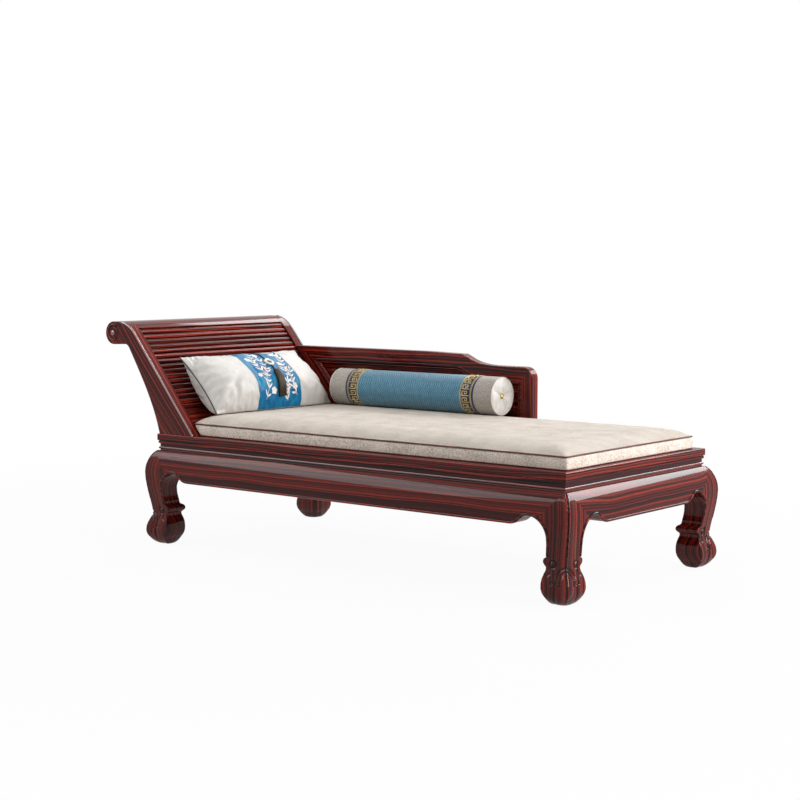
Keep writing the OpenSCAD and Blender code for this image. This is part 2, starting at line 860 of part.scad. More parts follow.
module back_base_rail() {
    color(wood)
        at_seat() {
            back_member(base_sector);
            foot_tenons([for (i = [0:2]) back_tenons[i]], 1, 0);
            back_peg(bl_peg, 0);
            back_peg(br_peg, 0);
        }
}

module back_panel() {
    color(wood_light)
        at_seat() {
            across(back_panel_t, board_y) polygon(back_opening(lip_w - tongue_l));
            across(back_panel_t + 2 * field_up, board_y) polygon(back_opening(lip_w + field_in));
        }
}

// Mattress

// Height of the crown above the mattress's foot, at a distance in from its edge
function crown_z(d) = seam_h + crown_h * (1 - pow(1 - min(d, crown_run) / crown_run, 3.2));

// Head end of the mattress's plan at a height z above its foot
function matt_x0(z) = edge_at(frame_top + z) + soft_gap / cos(head_lean) + 0.1;

// One side of the plan with its corner: points from one corner's arc to the next
function plan_side(a, b, n, turn, d) =
    let (r = matt_corner + 0.3 * d, dir = (b - a) / norm(b - a), inw = [-dir[1], dir[0]])
    concat(
        [for (i = [0:n - 1]) let (t = i / n, bow = matt_draw * 4 * t * (1 - t))
            a + dir * (r + (norm(b - a) - 2 * r) * t) + inw * bow],
        [for (i = [0:matt_arc]) let (q = turn + 90 * i / matt_arc)
            b - dir * r + inw * r + r * [cos(q), sin(q)]]
    );

function plan(d, z) =
    let (x0 = matt_x0(z) + d, x1 = matt_x1 - d, y0 = matt_y0 + d, y1 = matt_y1 - d)
    concat(
        plan_side([x0, y0], [x1, y0], matt_sides[0], -90, d),
        plan_side([x1, y0], [x1, y1], matt_sides[1], 0, d),
        plan_side([x1, y1], [x0, y1], matt_sides[2], 90, d),
        plan_side([x0, y1], [x0, y0], matt_sides[3], 180, d)
    );

// Rings from the foot of the gusset over the seam's notch to the crown: [inset, height]
matt_rings = concat(
    [[6, 0], [1, 5], [3, seam_h / 2], [2.2, seam_h - piping_r * 1.3], [notch_in, seam_h],
     [2.4, seam_h + piping_r * 1.3]],
    [for (d = [7, 15, 28, 46, 70, 100, crown_run]) [d, crown_z(d)]]
);

function ring_pts(rings, lift) =
    [for (q = rings) for (p = plan(q[0], q[1])) [p[0], p[1], frame_top + lift + q[1]]];

// Side faces between rings of m points, wound outward for rings that rise
function skin(rings, m, closed) =
    [for (k = [0:rings - (closed ? 1 : 2)]) for (j = [0:m - 1])
        let (a = k * m + j, b = k * m + (j + 1) % m, n = ((k + 1) % rings) * m)
        each [[a, n + j, n + (j + 1) % m], [a, n + (j + 1) % m, b]]];

matt_m = len(plan(0, 0));

module mattress() {
    rings = len(matt_rings);
    color("#d9d0c4")
        at_seat()
            polyhedron(ring_pts(matt_rings, soft_gap),
                       concat([[for (j = [0:matt_m - 1]) j]],
                              skin(rings, matt_m, false),
                              [[for (j = [matt_m - 1:-1:0]) (rings - 1) * matt_m + j]]));
}

module mattress_piping() {
    sides = 8;
    rings = [for (i = [0:sides - 1]) let (a = 360 * i / sides)
        [piping_in - piping_r * cos(a), seam_h + piping_r * sin(a)]];
    color("#5a2422")
        at_seat() polyhedron(ring_pts(rings, soft_gap), skin(sides, matt_m, true));
}

// Pillow

// Swell of the pillow's faces: 1 in the middle and 0 at the seam
function swell(u, v) = let (w = v + pillow_sag * (1 - v * v))
    pow(max(0, 1 - pow(abs(u), 5)), 0.55) * pow(max(0, 1 - w * w), 0.6);

// A point of the pillow: u, v from -1 to 1 across and up it, side 1 in front and -1 behind
function pillow_free(u, v, side) =
    let (y = pillow_w / 2 * u * (1 - pillow_draw * (1 - v * v)),
         s = pillow_h / 2 * (v - pillow_draw * max(0, v) * (1 - u * u)),
         n = side * pillow_half * swell(u, v))
    [pillow_cx + s * pillow_u[0] + n * pillow_n[0],
     y + pillow_y,
     pillow_cz + s * pillow_u[1] + n * pillow_n[1]];

// Top of the mattress at a distance along X, near its head end
function matt_z(x) = frame_top + soft_gap + crown_z(max(0, x - matt_x0(seam_h + crown_h)));

// The same point, pressed on to the mattress and flat against the slats
function pillow_pt(u, v, side) =
    let (p = pillow_free(u, v, side),
         z = max(p[2], matt_z(p[0]) + soft_gap),
         front = (p[0] - edge_x) * edge_n[0] + (z - frame_top) * edge_n[1],
         push = max(0, soft_gap - slat_in - front))
    [p[0] + push * edge_n[0], p[1], z + push * edge_n[1]];

// Grid position along an edge, closer together near the seam
function grid(i, n) = sin(90 * (2 * i / n - 1));

// Two triangles on a grid cell, cut along the line that points to the grid's nearest corner
function cell(a, b, c, d, rising) = rising ? [[a, c, d], [a, d, b]] : [[a, c, b], [b, c, d]];

module pillow() {
    nu = pillow_nu;
    nv = pillow_nv;
    row = nu + 1;
    front = [for (j = [0:nv]) for (i = [0:nu]) pillow_pt(grid(i, nu), grid(j, nv), 1)];
    behind = [for (j = [1:nv - 1]) for (i = [1:nu - 1]) pillow_pt(grid(i, nu), grid(j, nv), -1)];
    base = len(front);
    function at(i, j) = i == 0 || i == nu || j == 0 || j == nv
        ? j * row + i : base + (j - 1) * (nu - 1) + i - 1;
    function rising(i, j) = (i < nu / 2) == (j < nv / 2);
    faces = concat(
        [for (j = [0:nv - 1]) for (i = [0:nu - 1])
            let (a = j * row + i)
            each cell(a, a + 1, a + row, a + row + 1, rising(i, j))],
        [for (j = [0:nv - 1]) for (i = [0:nu - 1])
            each [for (f = cell(at(i, j), at(i + 1, j), at(i, j + 1), at(i + 1, j + 1), rising(i, j)))
                back_to_front(f)]]
    );
    color("#d8d3c8")
        at_seat() polyhedron(concat(front, behind), faces);
}

// The pendant lies on the pillow's front, along a slightly slanting line
cord_r = 1.6;
ring_v = 0.24;
tassel_v = -0.5;
// Height of the pendant's pieces above the pillow's face
pendant_gap = 0.6;
function pendant_u(v) = 0.11 + 0.04 * v;

function pendant_pt(v, up) = let (p = pillow_pt(pendant_u(v), v, 1))
    [p[0] + up * pillow_n[0], p[1], p[2] + up * pillow_n[1]];

// A strand along the pendant's line, half_w wide and half_t thick on each side of its middle
module pendant_strand(v0, v1, half_w, half_t) {
    n = 12;
    sides = 12;
    pts = [for (k = [0:n]) let (c = pendant_pt(v0 + (v1 - v0) * k / n, half_t + pendant_gap))
        for (i = [0:sides - 1]) let (a = 360 * i / sides, h = half_t * sin(a))
            [c[0] + h * pillow_n[0], c[1] - half_w * cos(a), c[2] + h * pillow_n[1]]];
    polyhedron(pts, concat([[for (i = [0:sides - 1]) i]], skin(n + 1, sides, false),
                           [[for (i = [sides - 1:-1:0]) n * sides + i]]));
}

// Slope of the pillow's face at v, as an angle from its middle plane
function face_tilt(v) =
    let (d = pillow_pt(pendant_u(v), v + 0.05, 1) - pillow_pt(pendant_u(v), v - 0.05, 1))
    atan2(d[0] * pillow_n[0] + d[2] * pillow_n[1], d[0] * pillow_u[0] + d[2] * pillow_u[1]);

module pillow_pendant() {
    ring_c = pendant_pt(ring_v, ring_sec + pendant_gap);
    ring_half = (ring_r + ring_sec) / pillow_h * 2;
    tassel_half = tassel_l / pillow_h;
    color("#3a2a1c")
        at_seat() {
            pendant_strand(ring_v + ring_half + 0.02, 0.97, cord_r, cord_r);
            pendant_strand(tassel_v - tassel_half, tassel_v + tassel_half, tassel_w / 2, tassel_t / 2);
            translate(ring_c)
                rotate([0, 90 - pillow_lean + face_tilt(ring_v), 0])
                    rotate_extrude($fn = 48) translate([ring_r, 0]) circle(r = ring_sec, $fn = 24);
        }
}

// Bolster

// Depth of the dimple in each end, and height of its button
cap_dimple = 5;
button_h = 5;
bolster_half = bolster_len / 2;
cap_curve = concat(
    [[0, bolster_half - cap_dimple], [button_r + 1, bolster_half - cap_dimple]],
    bez([button_r + 5, bolster_half - cap_dimple + 2], [bolster_r * 0.4, bolster_half + cap_out * 1.3],
        [bolster_r * 0.8, bolster_half + cap_out * 1.3], [bolster_r - 4, bolster_half], 8),
    bez([bolster_r - 2.5, bolster_half - 1], [bolster_r, bolster_half - 4],
        [bolster_r, bolster_half - 8], [bolster_r, bolster_half - 18], 5)
);

module on_bolster() {
    translate([-hx + bolster_at, bolster_y, bolster_z]) rotate([0, 90, 0]) children();
}

module bolster() {
    color("#4f8bab")
        at_seat()
            on_bolster()
                rotate_extrude($fn = 96)
                    polygon(concat(cap_curve, [for (i = [len(cap_curve) - 1:-1:0])
                                               [cap_curve[i][0], -cap_curve[i][1]]]));
}

module bolster_buttons() {
    color("#c9a94e")
        at_seat()
            on_bolster()
                for (end = [0, 180])
                    rotate([end, 0, 0])
                        translate([0, 0, bolster_half - cap_dimple])
                            rotate_extrude($fn = 48)
                                polygon(concat([[0, 0]],
                                               bez([button_r, 0], [button_r, button_h * 0.7],
                                                   [button_r * 0.6, button_h], [0, button_h], 6)));
}

for (s = SIDES) seat_rail(s);
seat_panel();
for (i = [1:batten_n]) batten(i);
for (s = SIDES) waist(s);
for (s = SIDES) bead(s);
for (s = SIDES) apron(s);
for (s = LEGS) leg(s);
stile(-1);  // stile_front
stile(1);  // stile_rear
head_roll();
head_rail();
for (i = [1:slat_n]) slat(i);
back_head_stile();
back_top_rail();
back_foot_post();
back_base_rail();
back_panel();
mattress();
mattress_piping();
pillow();
pillow_pendant();
bolster();
bolster_buttons();
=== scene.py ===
import json
import math

import bmesh
import bpy
import numpy as np
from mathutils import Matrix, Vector, noise
from mathutils.bvhtree import BVHTree


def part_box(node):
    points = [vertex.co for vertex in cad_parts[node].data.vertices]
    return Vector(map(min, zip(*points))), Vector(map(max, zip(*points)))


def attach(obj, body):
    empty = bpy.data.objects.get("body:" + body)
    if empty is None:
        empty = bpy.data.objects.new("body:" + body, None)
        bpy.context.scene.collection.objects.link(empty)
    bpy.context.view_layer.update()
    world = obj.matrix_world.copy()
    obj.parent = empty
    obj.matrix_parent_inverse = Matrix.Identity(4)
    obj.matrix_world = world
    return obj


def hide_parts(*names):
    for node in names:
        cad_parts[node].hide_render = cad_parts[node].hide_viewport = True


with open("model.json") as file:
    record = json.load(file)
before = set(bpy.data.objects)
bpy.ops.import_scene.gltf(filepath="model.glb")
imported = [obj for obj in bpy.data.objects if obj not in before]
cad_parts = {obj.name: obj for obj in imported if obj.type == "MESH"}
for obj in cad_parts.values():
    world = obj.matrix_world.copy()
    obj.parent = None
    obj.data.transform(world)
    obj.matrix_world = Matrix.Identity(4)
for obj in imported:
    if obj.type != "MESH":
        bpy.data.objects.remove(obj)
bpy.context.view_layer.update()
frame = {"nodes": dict(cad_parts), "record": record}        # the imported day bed: metres, +X to the foot end, +Y to the back
scene = bpy.context.scene

MM = 0.001
SLOT_OF = {part["node"]: part["material_slot"] for part in frame["record"]["subparts"]}
SOFT_NODES = ("mattress", "mattress_piping", "pillow", "pillow_pendant", "bolster",
              "bolster_buttons")
WOOD_NODES = [n for n in frame["nodes"] if n not in SOFT_NODES]
BOXES = {n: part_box(n) for n in WOOD_NODES}

# The seat frame, read from its rails
rail_lo, rail_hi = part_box("seat_rail_front")
SEAT_X = (rail_lo.x + rail_hi.x) / 2
HALF_X = (rail_hi.x - rail_lo.x) / 2
HALF_Y = -rail_lo.y
TOP = rail_hi.z

# Sizes of the part's source that the looks are built on, in millimetres
LEAN = math.radians(39.8)
EDGE_X = -HALF_X + 187 * MM
KNEE_OUT, KNEE_Z = 34, 265
ANKLE_OUT, ANKLE_Z = 15, 115
BALL_OUT, BALL_IN, BALL_Z = 31.5, 68, 50
APRON_TOP, APRON_BOT = 346, 239.5
SHANK_IN, ARCH_R, ARCH_Z = 51, 64.5, 206
CURL_IN, CURL_Z, CURL_R = 58, 131.5, 14
CUSP_REACH = 185
CREST_R, SCROLL_R, SCROLL_BACK = 123, 43, 26


# ---- Helpers ------------------------------------------------------------------------------

def upright(x, y, z):
    """A point x and z millimetres from the seat's centre and the floor, with y in metres."""
    return Vector((x * MM + SEAT_X, y, z * MM))


def seat(x, y, z):
    """A point given in millimetres from the seat's centre and the floor, in the frame's metres."""
    return upright(x, y * MM, z)


def bez(p, q, r, s, n):
    """n + 1 points of a cubic curve."""
    p, q, r, s = (np.array(v, float) for v in (p, q, r, s))
    return [(1 - t) ** 3 * p + 3 * (1 - t) ** 2 * t * q + 3 * (1 - t) * t * t * r + t ** 3 * s
            for t in np.linspace(0, 1, n + 1)]


def arc(cx, cy, r, a0, a1, n):
    """n + 1 points of an arc, angles in degrees."""
    return [np.array((cx + r * math.cos(math.radians(a)), cy + r * math.sin(math.radians(a))))
            for a in np.linspace(a0, a1, n + 1)]


def spiral(cx, cz, r0, r1, turns, start, n):
    """n + 1 points of a spiral round (cx, cz) from radius r0 to r1, the start in degrees."""
    out = []
    for i in range(n + 1):
        a = math.radians(start + 360 * turns * (i / n))
        r = r0 + (r1 - r0) * (i / n)
        out.append((cx + r * math.cos(a), cz + r * math.sin(a)))
    return out


def circle(n):
    """n angles round a full turn."""
    return [2 * math.pi * k / n for k in range(n)]


def smooth(t):
    """A soft step from 0 to 1, for numbers and arrays."""
    t = np.clip(t, 0, 1)
    return t * t * (3 - 2 * t)


def resample(path, step):
    """The same path in even steps."""
    pts = np.array([tuple(p) for p in path], float)
    along = np.concatenate([[0], np.cumsum(np.linalg.norm(np.diff(pts, axis=0), axis=1))])
    at = np.linspace(0, along[-1], max(2, int(along[-1] / step) + 1))
    return np.stack([np.interp(at, along, pts[:, k]) for k in range(pts.shape[1])], axis=1)


def waver(x, y, z, scale, seed):
    """Smooth noise from -1 to 1 at a point in millimetres."""
    return noise.noise(Vector((x / scale + seed, y / scale, z / scale)))


def linked(name, data):
    """A new object in the scene."""
    obj = bpy.data.objects.new(name, data)
    scene.collection.objects.link(obj)
    return obj


def modifier(obj, kind, **settings):
    made = obj.modifiers.new(kind.lower(), kind)
    for key, value in settings.items():
        setattr(made, key, value)
    return made


def as_shown(obj):
    """An object with its modifiers applied."""
    return obj.evaluated_get(bpy.context.evaluated_depsgraph_get())


def tree_of(obj):
    """A search tree over an object's mesh as it shows."""
    return BVHTree.FromObject(obj, bpy.context.evaluated_depsgraph_get())


def vectors(points, key="co"):
    """A vector of each of a mesh's points, as the rows of an array."""
    out = np.empty(len(points) * 3)
    points.foreach_get(key, out)
    return out.reshape(-1, 3)


def give(mesh, name, values):
    """Stores a number or a vector at each point of a mesh, for its material."""
    values = np.array(values, np.float32)
    kind, key = ("FLOAT_VECTOR", "vector") if values.ndim > 1 else ("FLOAT", "value")
    mesh.attributes.new(name, kind, "POINT").data.foreach_set(key, values.ravel())


def make_object(name, mesh_data, materials, indices=None):
    """A smooth shaded mesh object from (points, faces)."""
    verts, faces = mesh_data
    mesh = bpy.data.meshes.new(name)
    mesh.from_pydata([tuple(v) for v in verts], [], [tuple(int(i) for i in f) for f in faces])
    mesh.update()
    mesh.shade_smooth()
    for m in materials if isinstance(materials, list) else [materials]:
        mesh.materials.append(m)
    if indices is not None:
        mesh.polygons.foreach_set("material_index", np.array(indices, np.int32))
    return linked(name, mesh)


def hold(obj, body, slot, *replaced):
    """Rides a piece on its body and hides the CAD nodes that it stands for. slot is not used."""
    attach(obj, body)
    if replaced:
        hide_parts(*replaced)
    return obj


def grid_quads(rows, cols, wrap=False):
    """Quads between rows of cols points each."""
    return [(r * cols + c, r * cols + (c + 1) % cols,
             (r + 1) * cols + (c + 1) % cols, (r + 1) * cols + c)
            for r in range(rows - 1) for c in range(cols if wrap else cols - 1)]


def skin(rings, first=True, last=True):
    """Points and faces of a skin over rings of points, with a flat face on its ends."""
    verts = [p for ring in rings for p in ring]
    n = len(rings[0])
    faces = grid_quads(len(rings), n, wrap=True)
    if first:
        faces.append(range(n)[::-1])
    if last:
        faces.append(range(len(verts) - n, len(verts)))
    return verts, faces


def joined(parts):
    """Several meshes, each (points, faces), as one."""
    verts, faces = [], []
    for more, their_faces in parts:
        faces += [[i + len(verts) for i in face] for face in their_faces]
        verts += more
    return verts, faces


def tube(path, radius, sides=10, closed=False):
    """Points and faces of a round tube along a path. radius is a number or one per point."""
    pts = [Vector(p) for p in path]
    n = len(pts)
    radii = radius if hasattr(radius, "__len__") else [radius] * n
    rings, side = [], None
    for i, p in enumerate(pts):
        ahead = pts[(i + 1) % n] if closed else pts[min(i + 1, n - 1)]
        behind = pts[i - 1] if closed else pts[max(i - 1, 0)]
        t = (ahead - behind).normalized()
        if side is None:
            side = t.orthogonal().normalized()
        side = (side - t * side.dot(t)).normalized()
        other = t.cross(side)
        rings.append([p + radii[i] * (math.cos(a) * side + math.sin(a) * other)
                      for a in circle(sides)])
    verts, faces = skin(rings, not closed, not closed)
    if closed:
        # The last ring meets the first at the turn that brings their points together
        last = (n - 1) * sides
        turn = min(range(sides), key=lambda k: (rings[-1][0] - rings[0][k]).length)
        faces += [(last + k, last + (k + 1) % sides, (k + 1 + turn) % sides, (k + turn) % sides)
                  for k in range(sides)]
    return verts, faces


def piece(name, mesh_data, look, body, slot, *replaced):
    """A mesh object that rides on its body."""
    return hold(make_object(name, mesh_data, look), body, slot, *replaced)


def cords(name, paths, radius, look, sides, body, slot, *replaced, closed=False):
    """One piece of several round cords, their radius in millimetres."""
    return piece(name, joined(tube(p, radius * MM, sides, closed) for p in paths), look, body,
                 slot, *replaced)


# The camera solved from the photo: its place from the seat's centre, its turn and its lens
CAMERA_X, CAMERA_Y, CAMERA_Z = 3.6765, -4.6310, 1.0588
CAMERA_TILT, CAMERA_TURN = math.radians(85.092), math.radians(39.148)
LENS, SENSOR = 75.4, 36
camera = linked("camera", bpy.data.cameras.new("camera"))
camera.data.lens = LENS
camera.data.sensor_width = SENSOR
camera.data.clip_end = 60
camera.location = (CAMERA_X + SEAT_X, CAMERA_Y, CAMERA_Z)
camera.rotation_euler = (CAMERA_TILT, 0, CAMERA_TURN)
scene.camera = camera


# ---- Materials ----------------------------------------------------------------------------

def srgb(r, g, b):
    """Linear colour from the 0 to 255 numbers of a picture editor."""
    return tuple(c / 255 / 12.92 if c <= 10 else ((c / 255 + 0.055) / 1.055) ** 2.4
                 for c in (r, g, b))


class Nodes:
    """A node tree, built call by call. Values are numbers, colours or other nodes' outputs."""

    def __init__(self, tree):
        self.tree = tree

    def node(self, kind, inputs=None, **settings):
        made = self.tree.nodes.new("ShaderNode" + kind)
        for key, value in settings.items():
            setattr(made, key, value)
        for key, value in (inputs or {}).items():
            self.put(made.inputs[key], value)
        return made

    def put(self, socket, value):
        if isinstance(value, bpy.types.NodeSocket):
            self.tree.links.new(value, socket)
        else:
            socket.default_value = value

    def math(self, kind, a, b=0.0, c=0.0):
        return self.node("Math", {0: a, 1: b, 2: c}, operation=kind).outputs[0]

    def add(self, a, b):
        return self.math("ADD", a, b)

    def mul(self, a, b):
        return self.math("MULTIPLY", a, b)

    def mad(self, a, b, c):
        """a times b, plus c."""
        return self.math("MULTIPLY_ADD", a, b, c)

    def vector(self, kind, a, b):
        made = self.node("VectorMath", {0: a, 1: b}, operation=kind)
        return made.outputs["Value" if kind in ("DOT_PRODUCT", "LENGTH") else "Vector"]

    def combine(self, x, y, z):
        return self.node("CombineXYZ", {0: x, 1: y, 2: z}).outputs[0]

    def split(self, vector):
        return self.node("SeparateXYZ", {0: vector}).outputs

    def remap(self, value, low, high, to_low, to_high):
        """The value's range low to high, held and laid on the range to_low to to_high."""
        return self.node("MapRange", {0: value, 1: low, 2: high, 3: to_low, 4: to_high}).outputs[0]


class Look(Nodes):
    """A procedural material around the plain surface shader."""

    def __init__(self, name, **constants):
        self.mat = bpy.data.materials.new(name)
        self.mat.use_nodes = True
        super().__init__(self.mat.node_tree)
        self.bsdf = self.tree.nodes["Principled BSDF"]
        for socket, value in constants.items():
            self.bsdf.inputs[socket.replace("_", " ")].default_value = value
        self.place = self.node("TexCoord").outputs["Object"]

    def attribute(self, name, output="Vector"):
        return self.node("Attribute", attribute_name=name).outputs[output]

    def flat(self):
        """The piece's own flat coordinates, in metres."""
        return self.split(self.attribute("flat"))

    def noise(self, vector, scale, detail=2.0, rough=0.5):
        return self.node("TexNoise", {"Vector": vector, "Scale": scale, "Detail": detail,
                                      "Roughness": rough}).outputs["Fac"]

    def line_noise(self, value, detail=2.0, rough=0.5):
        return self.node("TexNoise", {"W": value, "Scale": 1.0, "Detail": detail,
                                      "Roughness": rough}, noise_dimensions="1D").outputs["Fac"]

    def ramp(self, value, *stops):
        """A colour ramp of stops (place, red, green, blue), colours from 0 to 255."""
        made = self.node("ValToRGB", {0: value})
        band = made.color_ramp
        while len(band.elements) < len(stops):
            band.elements.new(0.5)
        for element, (at, *color) in zip(band.elements, stops):
            element.position = at
            element.color = (*srgb(*color), 1)
        return made.outputs[0]

    def mix(self, share, under, over):
        """The over colour (red, green, blue from 0 to 255) laid by its share on the other."""
        return self.node("Mix", {0: share, 6: under, 7: (*srgb(*over), 1)},
                         data_type="RGBA").outputs[2]

    def wave(self, value, pitch):
        """A sine of value with that pitch, from -1 to 1."""
        return self.math("SINE", self.mul(value, 2 * math.pi / pitch))

    def threads(self, pitch):
        """Crossing threads that show on faces of any direction."""
        x, y, z = (self.wave(v, pitch) for v in self.split(self.place))
        return self.add(self.add(self.mul(x, y), self.mul(y, z)), self.mul(z, x))

    def finish(self, color, rough, height=None, depth=0.0, strength=1.0):
        self.put(self.bsdf.inputs["Base Color"], color)
        self.put(self.bsdf.inputs["Roughness"], rough)
        if height is not None:
            bump = self.node("Bump", {"Height": height, "Distance": depth * MM,
                                      "Strength": strength})
            self.put(self.bsdf.inputs["Normal"], bump.outputs[0])
        return self.mat


def rosewood(name, along_dir, across_dir, seed, red=1.0, own=False, gloss=0):
    """Striped rosewood under lacquer: straight stripes along the plank, spaced across it.
    gloss is the coat's index of refraction on beads, whose lacquer is rubbed brighter."""
    look = Look(name, Coat_Weight=0.9 if gloss else 0.36, Coat_IOR=gloss or 1.5,
                Coat_Roughness=0.14 if gloss else 0.06, Specular_IOR_Level=0.02)
    place = look.attribute("grain") if own else look.place
    along, across, other = (look.vector("DOT_PRODUCT", place, tuple(d)) for d in (
        along_dir, across_dir, Vector(along_dir).cross(across_dir)))
    drift = look.noise(look.combine(look.mad(along, 1.6, seed * 3.7), look.mul(across, 5.0),
                                    look.mul(other, 5.0)), 1.0)
    ring = look.mad(drift, 0.035, across)
    fine = look.line_noise(look.mad(ring, 190.0, seed * 11.3), 3.0, 0.62)
    broad = look.line_noise(look.mad(ring, 60.0, seed * 5.1), 1.0)
    stripes = look.mad(fine, 0.72, look.mul(broad, 0.28))
    color = look.ramp(stripes, (0.38, 26, 6, 6), (0.46, 56, 13, 11),
                      (0.54, 100 * red, 26 * red, 18), (0.64, 148 * red, 48 * red, 34))
    pores = look.noise(look.combine(look.mul(along, 30.0), look.mul(across, 1100.0),
                                    look.mul(other, 1100.0)), 1.0, 1.0)
    color = look.mix(look.mul(look.math("GREATER_THAN", pores, 0.62), 0.45), color, (22, 9, 10))
    if own:
        # Painted shade: the carved lines are darkened where their shadow falls
        color = look.mix(look.attribute("carved", "Fac"), color, (16, 5, 5))
    return look.finish(color, look.mad(stripes, 0.16, 0.24), pores, 0.06, 0.4)


def painted_groove_shade():
    """Painted shade: a dark line laid along the scrolls' spiral groove, where its shadow falls."""
    look = Look("painted_groove_shade", Specular_IOR_Level=0.2)
    patch = look.noise(look.place, 140.0)
    return look.finish(look.ramp(patch, (0.35, 16, 5, 5), (0.65, 34, 11, 10)), 0.5, patch, 0.1, 0.4)


def linen():
    """Cream linen: crossing threads, slubs and a faint mottling."""
    look = Look("linen", Sheen_Weight=0.15, Specular_IOR_Level=0.2)
    threads = look.threads(2.2 * MM)
    mottle = look.noise(look.place, 14.0, 4.0)
    slub = look.noise(look.vector("MULTIPLY", look.place, (60.0, 420.0, 420.0)), 1.0)
    tone = look.mad(threads, 0.07, look.mad(mottle, 0.5, look.mul(slub, 0.5)))
    color = look.ramp(tone, (0.30, 181, 170, 157), (0.5, 204, 193, 181), (0.7, 216, 206, 196))
    return look.finish(color, 0.9, threads, 0.35, 0.8)


def pebbled_linen():
    """The mattress's border: the same cloth with a coarser, pebbly face."""
    look = Look("linen_border", Sheen_Weight=0.15, Specular_IOR_Level=0.2)
    pebbles = look.noise(look.place, 210.0, 2.0, 0.6)
    mottle = look.noise(look.place, 18.0, 3.0)
    tone = look.mad(pebbles, 0.8, look.mad(mottle, 0.3, -0.05))
    color = look.ramp(tone, (0.38, 192, 180, 166), (0.5, 224, 211, 198), (0.62, 240, 231, 219))
    return look.finish(color, 0.9, pebbles, 1.6)


def plain_cloth(name, color, light, pitch=0.9, rough=0.75, sheen=0.2):
    """A closely woven cloth of two near tones, its threads pitch millimetres apart."""
    look = Look(name, Sheen_Weight=sheen, Specular_IOR_Level=0.3)
    threads = look.threads(pitch * MM)
    tone = look.mad(threads, 0.12, look.noise(look.place, 40.0, 3.0))
    return look.finish(look.ramp(tone, (0.35, *color), (0.65, *light)), rough, threads, 0.2, 0.7)


def satin():
    """Pearl grey satin with fine crossing lines."""
    look = Look("satin", Sheen_Weight=0.3, Specular_IOR_Level=0.5)
    u, v, _ = look.flat()
    fine = look.add(look.wave(u, 1.7 * MM), look.wave(v, 1.3 * MM))
    tone = look.mad(fine, 0.035, look.noise(look.place, 30.0, 3.0))
    color = look.ramp(tone, (0.3, 184, 180, 175), (0.7, 197, 192, 187))
    return look.finish(color, 0.42, fine, 0.08, 0.6)


def band_satin():
    """The pillow's blue satin band, cloudy between two blues."""
    look = Look("band_satin", Specular_IOR_Level=0.2)
    u, v, _ = look.flat()
    cloud = look.noise(look.place, 16.0, 3.0, 0.6)
    color = look.ramp(cloud, (0.3, 6, 78, 122), (0.5, 12, 104, 148), (0.7, 30, 136, 168))
    return look.finish(color, 0.45, look.wave(look.add(u, v), 1.4 * MM), 0.08, 0.6)


def herringbone():
    """Teal brocade woven in soft chevrons across the bolster."""
    look = Look("herringbone", Sheen_Weight=0.35, Specular_IOR_Level=0.4)
    u, v, _ = look.flat()
    share = look.math("FRACT", look.math("DIVIDE", v, 44 * MM))
    fold = look.math("ABSOLUTE", look.math("SUBTRACT", share, 0.5))
    stripe = look.wave(look.mad(fold, 30 * MM, u), 9 * MM)
    fine = look.wave(look.math("SUBTRACT", u, look.mul(fold, 60 * MM)), 1.6 * MM)
    mottle = look.mad(look.noise(look.place, 60.0, 3.0), 0.3, 0.35)
    tone = look.mad(stripe, 0.16, look.mad(fine, 0.06, mottle))
    color = look.ramp(tone, (0.34, 26, 76, 98), (0.5, 52, 112, 138), (0.66, 96, 154, 180))
    return look.finish(color, 0.6, look.add(stripe, fine), 0.15, 0.7)


def brushed_weave():
    """The bolster's grey-cream ends, combed round the roll."""
    look = Look("brushed_weave", Sheen_Weight=0.3, Specular_IOR_Level=0.3)
    u, v, _ = look.flat()
    combed = look.noise(look.combine(look.mul(u, 900.0), look.mul(v, 120.0), 0.0), 1.0, 3.0)
    fine = look.mul(look.wave(u, 1.8 * MM), look.wave(v, 1.8 * MM))
    tone = look.mad(fine, 0.06, combed)
    color = look.ramp(tone, (0.32, 120, 113, 106), (0.5, 162, 155, 147), (0.68, 200, 194, 186))
    return look.finish(color, 0.8, look.add(combed, fine), 0.25, 0.7)


def flecked_silk():
    """Dark tassel silk with gold flecks."""
    look = Look("flecked_silk", Specular_IOR_Level=0.15)
    specks = look.node("TexVoronoi", {"Vector": look.place, "Scale": 520.0}).outputs["Distance"]
    strand = look.noise(look.place, 300.0)
    base = look.ramp(strand, (0.35, 24, 16, 9), (0.65, 54, 40, 20))
    gold = look.mul(look.math("LESS_THAN", specks, 0.22), 0.6)
    return look.finish(look.mix(gold, base, (150, 118, 52)), 0.5, strand, 0.3, 0.7)


def glossy_stone():
    """Pale jade, faintly clouded."""
    look = Look("pale_jade", Coat_Weight=0.5, Coat_Roughness=0.08)
    cloud = look.noise(look.place, 90.0, 3.0)
    return look.finish(look.ramp(cloud, (0.35, 206, 202, 182), (0.65, 238, 236, 224)), 0.2)


def gilt():
    """Worn gold on the bolster's buttons."""
    look = Look("gilt", Metallic=0.85)
    wear = look.noise(look.place, 260.0, 3.0)
    color = look.ramp(wear, (0.35, 168, 130, 56), (0.65, 226, 196, 120))
    return look.finish(color, look.mad(wear, 0.2, 0.25), wear, 0.1, 0.5)


SLOPE = Vector((-math.sin(LEAN), 0, math.cos(LEAN)))
HEAD_N = Vector((math.cos(LEAN), 0, math.sin(LEAN)))
# For each way of laying the wood: the direction of its grain and that across its stripes
GRAINS = {"x": ((1, 0, 0), (0, 0.66, 0.75)), "y": ((0, 1, 0), (0.66, 0, 0.75)),
          "z": ((0, 0, 1), (0.75, 0.66, 0)), "leg": ((0, 0, 1), (0.72, -0.69, 0)),
          "slope": (SLOPE, 0.8 * HEAD_N + Vector((0, 0.6, 0))), "slat": ((0, 1, 0), SLOPE)}
wood_looks = {}


